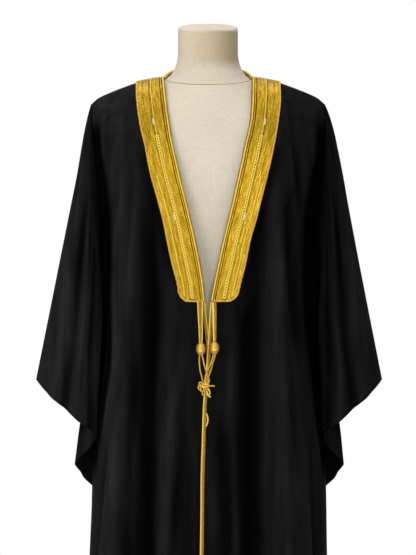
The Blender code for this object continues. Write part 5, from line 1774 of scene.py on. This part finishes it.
def band_line(side, at, start, stop, count, lift):
    """A route down the band at one place across it."""
    down = np.linspace(start, stop, count)
    return on_front(side, np.full(count, at), down, np.full(count, RIM_LIFT + lift))


def chain_tubes(side):
    """The chain of stitches down the middle, and the thin cord that it grows from."""
    route = band_line(side, CHAIN_AT, 5.2, BAND_BOTTOM_ROW - 0.16, 520, 0.0014)
    chain = plaited(route, FACING_FRONT, 0.0028, 0.0006, 0.012, 0.0014, count=2)
    return chain + twisted(band_line(side, CHAIN_AT, CORD_TOP, 5.3, 120, 0.0009), 0.0012, 2, 0.006, 6)


def rim_tubes(side):
    """The piping along the foot, round the corner and up the outer edge, a little uneven at the foot."""
    share = np.linspace(0.1, 1.0, FOOT_POINTS)
    foot = np.stack((share, band_foot(share) - 0.03), axis=-1)
    up = np.linspace(band_foot(np.array([1.0]))[0] - 0.05, CORD_TOP, RIM_POINTS)
    rim = np.concatenate((foot, np.stack((np.full(RIM_POINTS, RIM_AT), up), axis=-1)[2:]))
    route = on_front(side, rim[:, 0] * RIM_AT, rim[:, 1], np.full(len(rim), RIM_LIFT + 0.0002))
    number = np.arange(len(rim))
    bumps = np.where(number < RIM_BUMPS, 0.0007, 0.0002) * np.sin(number * 0.9)
    route = route + bumps[:, None] * np.array((1.0, 0.0, 0.6))
    return twisted(route, 0.0021, 2, 0.008, 6)


def stitch_tubes(side):
    """Two short stitches beside the chain."""
    grid = fronts[side][0]
    tubes = []
    for stitch in SILVER_STITCHES:
        heights_there = grid[:BAND_BOTTOM_ROW * FINE, int(stitch.at * BAND_COLUMNS * FINE), 2]
        row = int(np.argmin(np.abs(heights_there - stitch.z))) / FINE
        dash = band_line(side, stitch.at, row - STITCH_REACH, row + STITCH_REACH, 9, 0.0018)
        middle = dash.mean(axis=0)
        dash = middle + (dash - middle) * (STITCH_LENGTH / np.linalg.norm(dash[-1] - dash[0]))
        tubes += twisted(smooth_route(dash, 24), 0.0016, 2, 0.006, 7)
    return tubes


print("rows of silver stitches:", len(SILVER_STITCHES))

# %% Laid cords
for side in (-1, 1):
    edge = band_line(side, PIPING_AT, CORD_TOP, BAND_BOTTOM_ROW - 0.05, 420, 0.0016)
    raised = band_line(side, RAISED_AT, 7.6, BAND_BOTTOM_ROW - 0.28, 300, 0.0018)
    for kind, tubes, finish in (
            ("piping_", twisted(edge, 0.00165, 2, 0.008, 7), pale_cord),
            ("chain_", chain_tubes(side), pale_cord),
            ("raised_line_", twisted(raised, 0.00135, 2, 0.006, 6), pale_cord),
            ("rim_", rim_tubes(side), gold_cord),
            ("silver_stitches_", stitch_tubes(side), silver_cord)):
        item = take_place(tubes_piece(kind + side_name(side), tubes, finish))
        print(item.name, "faces", len(item.data.polygons))

# %% [markdown]
# Below the bands a flat plait runs down each front edge to the hem, with a twisted cord beside it. On
# the left a small bulge shows where the tie's end is caught under the plait. On the shoulders a thin
# rope lies beside the seam, from the band to the sleeve. Their routes are read from the cloth, so that
# they follow its folds.

# %% Edge braids
EDGE_ROWS = 1100
PLAIT_IN = 0.0052
CORD_IN = 0.0016
LUMP_TOP_Z = 0.785
LUMP_LOW_Z = 0.759
LUMP_POINTS = 16


def edge_strip(grid, row):
    """Width of the first coarse column of a front at each row."""
    away = sampled(grid, row, np.full(len(row), float(FINE))) - sampled(grid, row, np.zeros(len(row)))
    return np.linalg.norm(away, axis=1)


def lump_tubes(surface, row, strip):
    """The bulge of a cord that is caught beside the plait."""
    grid = surface[0]
    lump = np.interp(-np.linspace(LUMP_TOP_Z, LUMP_LOW_Z, LUMP_POINTS), -grid[:, 0, 2], np.arange(len(grid)))
    aside = 0.0076 + 0.0034 * np.sin(np.linspace(0.0, math.pi, LUMP_POINTS))
    col = FINE * aside / np.interp(lump, row, strip)
    route = lifted(surface, lump, col, np.full(LUMP_POINTS, BRAID_LIFT + 0.0012))
    return twisted(smooth_route(route, 40), 0.0018, 2, 0.006, 6)


def edge_braid(side):
    """A flat plait and a twisted cord down a front's edge."""
    surface = fronts[side]
    row = np.linspace(BAND_BOTTOM_ROW + 0.03, LAST_ROW, EDGE_ROWS) * FINE
    strip = edge_strip(surface[0], row)
    plait = lifted(surface, row, FINE * PLAIT_IN / strip, np.full(EDGE_ROWS, BRAID_LIFT + 0.0011))
    cord = lifted(surface, row, FINE * CORD_IN / strip, np.full(EDGE_ROWS, BRAID_LIFT + 0.0014))
    tubes = plaited(smooth_route(plait, 860), FACING_FRONT, 0.0016, 0.0006, 0.014, 0.00115)
    tubes += twisted(smooth_route(cord, 820), 0.0018, 2, 0.0085, 6)
    if side > 0:
        tubes += lump_tubes(surface, row, strip)
    return tubes_piece("plaited_edge_braid_" + side_name(side), tubes, deep_cord, pale_cord, 3)


for side in (-1, 1):
    braid = take_place(edge_braid(side), "edge_braid_" + side_name(side))
    print(braid.name, "faces", len(braid.data.polygons))

# %% Shoulder braids
SHOULDER_POINTS = 90
SHOULDER_IN = 0.0056
SHOULDER_START = NECK_COLUMNS + BACK_BAND_COLUMNS + 0.06
SHOULDER_END = SHOULDER_START + BACK_COLUMNS - 1.1
grid, normals = back
for side in (-1, 1):
    col = centre + side * np.linspace(SHOULDER_START, SHOULDER_END, SHOULDER_POINTS) * FINE
    first, second = (sampled(grid, np.full(SHOULDER_POINTS, at), col) for at in (0.0, float(FINE)))
    row = FINE * SHOULDER_IN / np.linalg.norm(second - first, axis=1)
    route = lifted(back, row, col, np.full(SHOULDER_POINTS, 0.0012))
    rope = plaited(smooth_route(route, 160), (0.0, 0.3, 1.0), 0.0015, 0.0004, 0.01, 0.0008)
    name = "shoulder_braid_" + side_name(side)
    braid = take_place(tubes_piece("plaited_" + name, rope, gold_cord), name)
    print(braid.name, "faces", len(braid.data.polygons))

# %% [markdown]
# The back neckline is bound: a gold piping along its edge, and a narrow gold facing inside it. One
# thick piping could hide the raw edge alone, but the inside of the neck shows from above.

# %% Neck binding
NECK_POINTS = 260
FACING_ROWS = 6
FACING_DEPTH = 2.6
FACING_WALL = 0.0005
PAST_NECK = 4
shape = (FACING_ROWS, NECK_POINTS)
col = np.linspace(centre - neck_reach - PAST_NECK, centre + neck_reach + PAST_NECK, NECK_POINTS)
rim = sampled(grid, np.full(NECK_POINTS, 0.15), col)
outward = unit(sampled(normals, np.full(NECK_POINTS, 1.0), col))
neck_route = smooth_route(rim + outward * 0.0004 + np.array((0.0, 0.0, 0.0016)), 420)
neck_piping = tubes_piece("neck_piping", twisted(neck_route, 0.0026, 2, 0.01, 7), gold_cord)
depth = np.broadcast_to(np.linspace(0.0, FACING_DEPTH, FACING_ROWS)[:, None], shape)
col = np.broadcast_to(col, shape)
inward = -unit(sampled(normals, depth + 1.0, col))
inside = sampled(grid, depth + 0.1, col) + inward * (CLOTH_WALL + 0.0009)
neck_facing = band_mesh("neck_facing", inside, inward, np.linspace(0.25, 0.42, NECK_POINTS)[None, :])
neck_facing.modifiers["thickness"].thickness = FACING_WALL
take_place(neck_piping)
take_place(neck_facing)
print("neck binding", len(neck_piping.data.polygons), len(neck_facing.data.polygons))

# %% [markdown]
# ## Dress form and stand
# The form has no limbs. It is smooth under the cloak, and its neck is a separate cover that ends in a
# flat fabric top with a soft rim. The seam between the two shows as a fine crease. A sculpted body
# could be used, but a form is built from sections, and so is this one.

# %% Form tables
FORM_CLEARANCE = 0.0022
FORM_EXTRA_CLEARANCE = 0.005
FORM_EXTRA_REACH = 0.025
FORM_SHOULDER_X = 0.236
FORM_SHOULDER_POWER = 2.5
FORM_SHOULDER_ROOT = 0.4
FORM_SECTION_POWER = 2.3
FORM_SPREAD_POWER = 0.88
FORM_SETTLED_Z = 1.2
FORM_NECK_COLUMNS = 6
FORM_SHOULDER_COLUMNS = 6
NECK_BASE_X = 0.0862
NECK_BASE_FRONT = 0.065
NECK_BASE_BACK = 0.0655
NECK_BASE_Z = 1.4528
NECK_BASE_SLOPE = 0.19
NECK_TOP_RADIUS = 0.0612
NECK_RIM_EASE = 0.3
NECK_CAP_Z = 1.5605
NECK_CAP_TILT = math.radians(9.5)
CREASE_ANGLE = math.radians(40)
FORM_BOTTOM_Z = 0.8

# Dress form below the chest: half width, front and back
FORM_SECTIONS = table(
    "z half front back",
    (1.412, 0.2215, 0.1, 0.098),
    (1.3456, 0.206, 0.098, 0.094),
    (1.3, 0.19, 0.104, 0.098),
    (1.25, 0.18, 0.106, 0.096),
    (1.19, 0.168, 0.104, 0.088),
    (1.12, 0.156, 0.098, 0.08),
    (1.05, 0.15, 0.095, 0.078),
    (0.97, 0.157, 0.098, 0.088),
    (0.9, 0.166, 0.101, 0.1),
    (0.84, 0.168, 0.1, 0.101),
    (0.8, 0.164, 0.096, 0.097),
)

# Neck of the form: how far up, and how much of the flare is left
NECK_RINGS = table(
    "up flare",
    (0.00, 1.00),
    (0.04, 0.76),
    (0.11, 0.5),
    (0.22, 0.25),
    (0.36, 0.07),
    (0.52, 0.00),
    (0.95, 0.00),
    (0.985, -0.07),
    (1.00, -0.24),
)
print("form sections:", len(FORM_SECTIONS), "neck rings:", len(NECK_RINGS))

# %% The form's surfaces
def neck_base(turn):
    """Points of the neck seam: turn is 0 at the front and pi at the back."""
    forward = np.cos(turn)
    y = -forward * np.where(forward > 0, NECK_BASE_FRONT, NECK_BASE_BACK)
    return np.stack((NECK_BASE_X * np.sin(turn), y, NECK_BASE_Z + NECK_BASE_SLOPE * y), axis=-1)


def form_depth(facing, x, z, seam_x):
    """Depth of the form: under the cloth on the shoulders, then its own section."""
    drop = np.maximum(shoulder_z(x) - FORM_CLEARANCE - z, 0.0)
    clearance = FORM_CLEARANCE + FORM_EXTRA_CLEARANCE * ease(drop / FORM_EXTRA_REACH)
    under = look_up(PROFILE, "drop", facing, drop) - clearance
    round_off = np.maximum(1.0 - (np.abs(x) / FORM_SHOULDER_X) ** FORM_SHOULDER_POWER, 0.0)
    under = under * round_off ** FORM_SHOULDER_ROOT
    own = look_up(FORM_SECTIONS, "z", facing, z)
    own = own * np.maximum(1.0 - (np.abs(x) / seam_x) ** FORM_SECTION_POWER, 0.0) ** (1 / FORM_SECTION_POWER)
    return np.maximum(np.minimum(under, own), 0.0)


def form_half(facing, facing_sign, per=5):
    """Front or back of the form at a fine grid, from its right side to its left."""
    turn = np.linspace(0.0, math.pi / 2, FORM_NECK_COLUMNS * per + 1)
    tops = neck_base(turn if facing_sign < 0 else math.pi - turn)
    reach = FORM_SECTIONS[0].half - NECK_BASE_X
    columns = FORM_SHOULDER_COLUMNS * per
    shoulder = NECK_BASE_X + reach * np.sin(math.pi / 2 * np.arange(1, columns + 1) / columns)
    over = np.stack((shoulder, np.zeros_like(shoulder), shoulder_z(shoulder) - FORM_CLEARANCE), axis=-1)
    top_x, top_y, top_z = np.concatenate((tops, over)).T
    low = column(FORM_SECTIONS, "z")[2:]
    levels = top_z - np.array(TOP_FRACTIONS)[:, None] * (top_z - CHEST_Z)
    levels = np.concatenate((levels, np.repeat(low[:, None], len(top_z), axis=1)))
    z = finer(levels, (len(levels) - 1) * per + 1)
    seam_x = look_up(FORM_SECTIONS, "z", "half", np.minimum(z, FORM_SECTIONS[0].z))
    low_x = seam_x * np.sin(math.pi / 2 * np.arange(len(top_x)) / (len(top_x) - 1)) ** FORM_SPREAD_POWER
    settled = ease((top_z - z) / (top_z - FORM_SETTLED_Z))
    x = top_x * np.minimum(seam_x / FORM_SECTIONS[0].half, 1.0) * (1 - settled) + low_x * settled
    natural = form_depth(facing, x, z, seam_x)
    chest = form_depth(facing, top_x, CHEST_Z, look_up(FORM_SECTIONS, "z", "half", CHEST_Z))
    stand = np.where(z > CHEST_Z, np.maximum(1.0 - natural / np.maximum(chest, 0.001), 0.0), 0.0)
    y = facing_sign * natural + top_y * stand * np.abs(top_y) / NECK_BASE_FRONT
    x[0], y[0] = top_x, top_y
    y[:, -1] = 0.0
    half = np.stack((x, y, z), axis=-1)
    mirrored = half[:, :0:-1] * np.array((-1.0, 1.0, 1.0))
    return np.concatenate((mirrored, half), axis=1)


print("neck seam at the front:", neck_base(np.array([0.0]))[0].round(3))

# %% The torso
def closed_piece(name, loops, finish):
    """A closed piece from rings of points, bottom ring first, with its two ends filled."""
    shape = bmesh.new()
    rings = [[shape.verts.new(point) for point in ring] for ring in loops]
    count = len(rings[0])
    for low, high in zip(rings, rings[1:]):
        for index in range(count):
            after = (index + 1) % count
            shape.faces.new((low[index], low[after], high[after], high[index]))
    for ring in (rings[0], rings[-1]):
        shape.faces.new(ring)
    bmesh.ops.remove_doubles(shape, verts=shape.verts, dist=0.00005)
    bmesh.ops.recalc_face_normals(shape, faces=shape.faces)
    data = bpy.data.meshes.new(name)
    shape.to_mesh(data)
    shape.free()
    data.shade_smooth()
    data.set_sharp_from_angle(angle=CREASE_ANGLE)
    data.materials.append(finish)
    return add_object(name, data)


front_half, rear_half = form_half("front", -1), form_half("back", 1)
torso_rings = np.concatenate((front_half, rear_half[:, -2:0:-1]), axis=1)[::-1]
torso = closed_piece("linen_torso", torso_rings, linen)
print("torso faces:", len(torso.data.polygons))

# %% The neck and its cap
NECK_AROUND = 96
NECK_LEVELS = np.concatenate(([0.0, 0.006], np.linspace(0.02, 0.95, 34), [0.965, 0.978, 0.988, 0.995, 1.0]))
CAP_RINGS = table(
    "share height",
    (0.975, 0.0002),
    (0.965, -0.0005),
    (0.955, 0.0002),
    (0.7, 0.0007 * (1 - 0.7)),
    (0.4, 0.0007 * (1 - 0.4)),
)


def neck_loops():
    """Rings up the neck, then inwards over its tilted cap."""
    turn = np.linspace(0.0, 2 * math.pi, NECK_AROUND, endpoint=False)
    base = neck_base(turn) + np.array((0.0, 0.0, LAYER_GAP))
    top = np.stack((NECK_TOP_RADIUS * np.sin(turn), -NECK_TOP_RADIUS * np.cos(turn),
                    np.full(NECK_AROUND, NECK_CAP_Z)), axis=-1)
    top[:, 2] += top[:, 1] * math.tan(NECK_CAP_TILT)
    loops = []
    for up in NECK_LEVELS:
        flare = look_up(NECK_RINGS, "up", "flare", up)
        level = top[:, :2] + (base[:, :2] - top[:, :2]) * max(flare, 0.0)
        level = level * (1.0 + min(flare, 0.0) * NECK_RIM_EASE)
        loops.append(np.column_stack((level, base[:, 2] + (top[:, 2] - base[:, 2]) * up)))
    rim = loops[-1]
    middle = rim.mean(axis=0)
    for ring in CAP_RINGS:
        inner = middle + (loops[-1] - middle) * ring.share
        inner[:, 2] += ring.height
        loops.append(inner)
    return loops


neck = closed_piece("linen_neck", neck_loops(), linen)
print("neck faces:", len(neck.data.polygons))

# %% [markdown]
# The stand is turned steel: a round base with an eased rim and a straight pole with a small collar.
# Both could be spun from a section. A cylinder with its upper rim bevelled is the same shape in fewer
# steps, and the collar is drawn out of the pole's foot.

# %% Turned pieces
POLE_RADIUS = 0.0175
BASE_RADIUS = 0.18
BASE_HEIGHT = 0.02
BASE_BEVEL = 0.004
POLE_BEVEL = 0.0008
COLLAR_HEIGHT = 0.014
COLLAR_OUT = 0.006


def turned_piece(name, radius, low, high, ease_rim):
    """A round upright piece with its upper rim eased."""
    bpy.ops.object.select_all(action="DESELECT")
    bpy.ops.mesh.primitive_cylinder_add(vertices=96, radius=radius, depth=high - low,
                                        location=(0, 0, (low + high) / 2))
    item = bpy.context.object
    item.name = item.data.name = name
    bpy.ops.object.transform_apply(location=True, rotation=True, scale=True)
    bpy.ops.object.mode_set(mode="EDIT")
    shape = bmesh.from_edit_mesh(item.data)
    bpy.ops.mesh.select_mode(type="EDGE")
    for edge in shape.edges:
        edge.select_set(all(vert.co.z > (low + high) / 2 for vert in edge.verts))
    bmesh.update_edit_mesh(item.data)
    bpy.ops.mesh.bevel(offset=ease_rim, segments=4, affect="EDGES")
    bpy.ops.object.mode_set(mode="OBJECT")
    return item


def add_collar(item, top):
    """The lowest part of an upright piece, cut off at a height and drawn outwards."""
    bpy.ops.object.mode_set(mode="EDIT")
    bpy.ops.mesh.select_all(action="SELECT")
    bpy.ops.mesh.bisect(plane_co=(0, 0, top), plane_no=(0, 0, 1))
    shape = bmesh.from_edit_mesh(item.data)
    for face in shape.faces:
        low = all(vert.co.z < top + 1e-5 for vert in face.verts)
        face.select_set(low and abs(face.normal.z) < 0.5)
    bmesh.update_edit_mesh(item.data)
    bpy.ops.mesh.extrude_region_shrink_fatten(TRANSFORM_OT_shrink_fatten={"value": COLLAR_OUT})
    bpy.ops.object.mode_set(mode="OBJECT")


def finish_metal(item):
    """Smooth shading with sharp edges, and paint."""
    bpy.ops.object.shade_smooth_by_angle(angle=math.radians(30))
    item.data.materials.append(metal)
    print(item.name, "faces", len(item.data.polygons))


print("makers of turned pieces ready")

# %% Pole and base
pole_low = BASE_HEIGHT + SEAM_GAP
pole = turned_piece("painted_pole", POLE_RADIUS, pole_low, FORM_BOTTOM_Z - SEAM_GAP, POLE_BEVEL)
add_collar(pole, pole_low + COLLAR_HEIGHT)
finish_metal(pole)
base = turned_piece("painted_base", BASE_RADIUS, 0.0, BASE_HEIGHT, BASE_BEVEL)
finish_metal(base)
for item, slot_name, node_name in ((torso, "linen", "form_torso"), (neck, "linen", "form_neck"),
                                   (pole, "dark_metal", "stand_pole"), (base, "dark_metal", "stand_base")):
    take_place(item, node_name)

# %% [markdown]
# ## Cloth facts
# Each panel rests on the form. Its width is measured along the surface that was made, all round on a
# sleeve.


def round_the_tube(grid):
    """A sleeve's grid with its first column again at the end."""
    return np.concatenate((grid, grid[:, :1]), axis=1)


panels = {"back": back[0]}
for side in (-1, 1):
    panels["front_" + side_name(side)] = fronts[side][0]
    panels["sleeve_" + side_name(side)] = round_the_tube(sleeves[side][0])
for node_name, grid in panels.items():
    item = cloth["wool_" + node_name]
    width = float(lengths_along(grid, 1)[:, -1].max())
    take_place(item, node_name)

# %% [markdown]
# ## Studio
# A large soft lamp stands at the front left and a smaller one beside the camera. A weak one fills
# from the right, and one hangs overhead. Pale surroundings light the shadows, dimmer from below, and
# the background is plain white paper. One hard lamp would show the folds, but would throw shadows
# that a catalogue picture doesn't have.

# %% Floor and lamps
paper = new_material("studio_paper", (0.86, 0.86, 0.86), 0.9)[0]
bpy.ops.object.select_all(action="DESELECT")
bpy.ops.mesh.primitive_plane_add(size=4.0, location=(0.0, 0.0, -0.0005))
floor = bpy.context.object
floor.name = "studio_floor"
floor.data.materials.append(paper)


def lamp(name, place, aim, size, power):
    """A soft square lamp turned towards a point."""
    data = bpy.data.lights.new(name, "AREA")
    data.shape = "SQUARE"
    data.size = size
    data.energy = power
    made = add_object(name, data)
    way = np.array(aim) - np.array(place)
    level = math.hypot(way[0], way[1])
    made.location = place
    made.rotation_euler = (math.atan2(level, -way[2]), 0.0, math.atan2(-way[0], way[1]))


CHEST = (0.0, 0.0, 1.1)
lamp("key_lamp", (-2.2, -3.3, 2.3), CHEST, 2.0, 54.0)
lamp("front_lamp", (0.15, -4.3, 1.6), CHEST, 1.2, 68.0)
lamp("fill_lamp", (2.8, -3.0, 1.6), CHEST, 2.0, 4.0)
lamp("top_lamp", (0.0, 0.3, 4.2), (0.0, 0.0, 1.0), 2.5, 34.0)
print("lamps:", [light.name for light in bpy.data.lights])

# %% Surroundings
BELOW = (0.12, 0.12, 0.12)
LEVEL = (0.33, 0.33, 0.33)
ABOVE = (0.68, 0.68, 0.68)
world = bpy.data.worlds.new("studio_world")
world.use_nodes = True
bpy.context.scene.world = world
tree = world.node_tree
tree.nodes.clear()
seen = node(tree, "ShaderNodeBackground", Strength=1.0)
seen.inputs["Color"].default_value = (1.0, 1.0, 1.0, 1.0)
ambient = node(tree, "ShaderNodeBackground", Strength=1.0)
way = xyz(tree, node(tree, "ShaderNodeTexCoord").outputs["Generated"])
upward = math_node(tree, "MULTIPLY_ADD", way[2], 0.5, 0.5)
tree.links.new(ramp(tree, upward, ((0.3, BELOW), (0.52, LEVEL), (0.85, ABOVE))), ambient.inputs["Color"])
path = node(tree, "ShaderNodeLightPath")
mixed = node(tree, "ShaderNodeMixShader")
sky = node(tree, "ShaderNodeOutputWorld")
tree.links.new(path.outputs["Is Camera Ray"], mixed.inputs[0])
tree.links.new(ambient.outputs[0], mixed.inputs[1])
tree.links.new(seen.outputs[0], mixed.inputs[2])
tree.links.new(mixed.outputs[0], sky.inputs["Surface"])
bpy.context.scene.view_settings.view_transform = "Standard"
print("surroundings:", world.name)
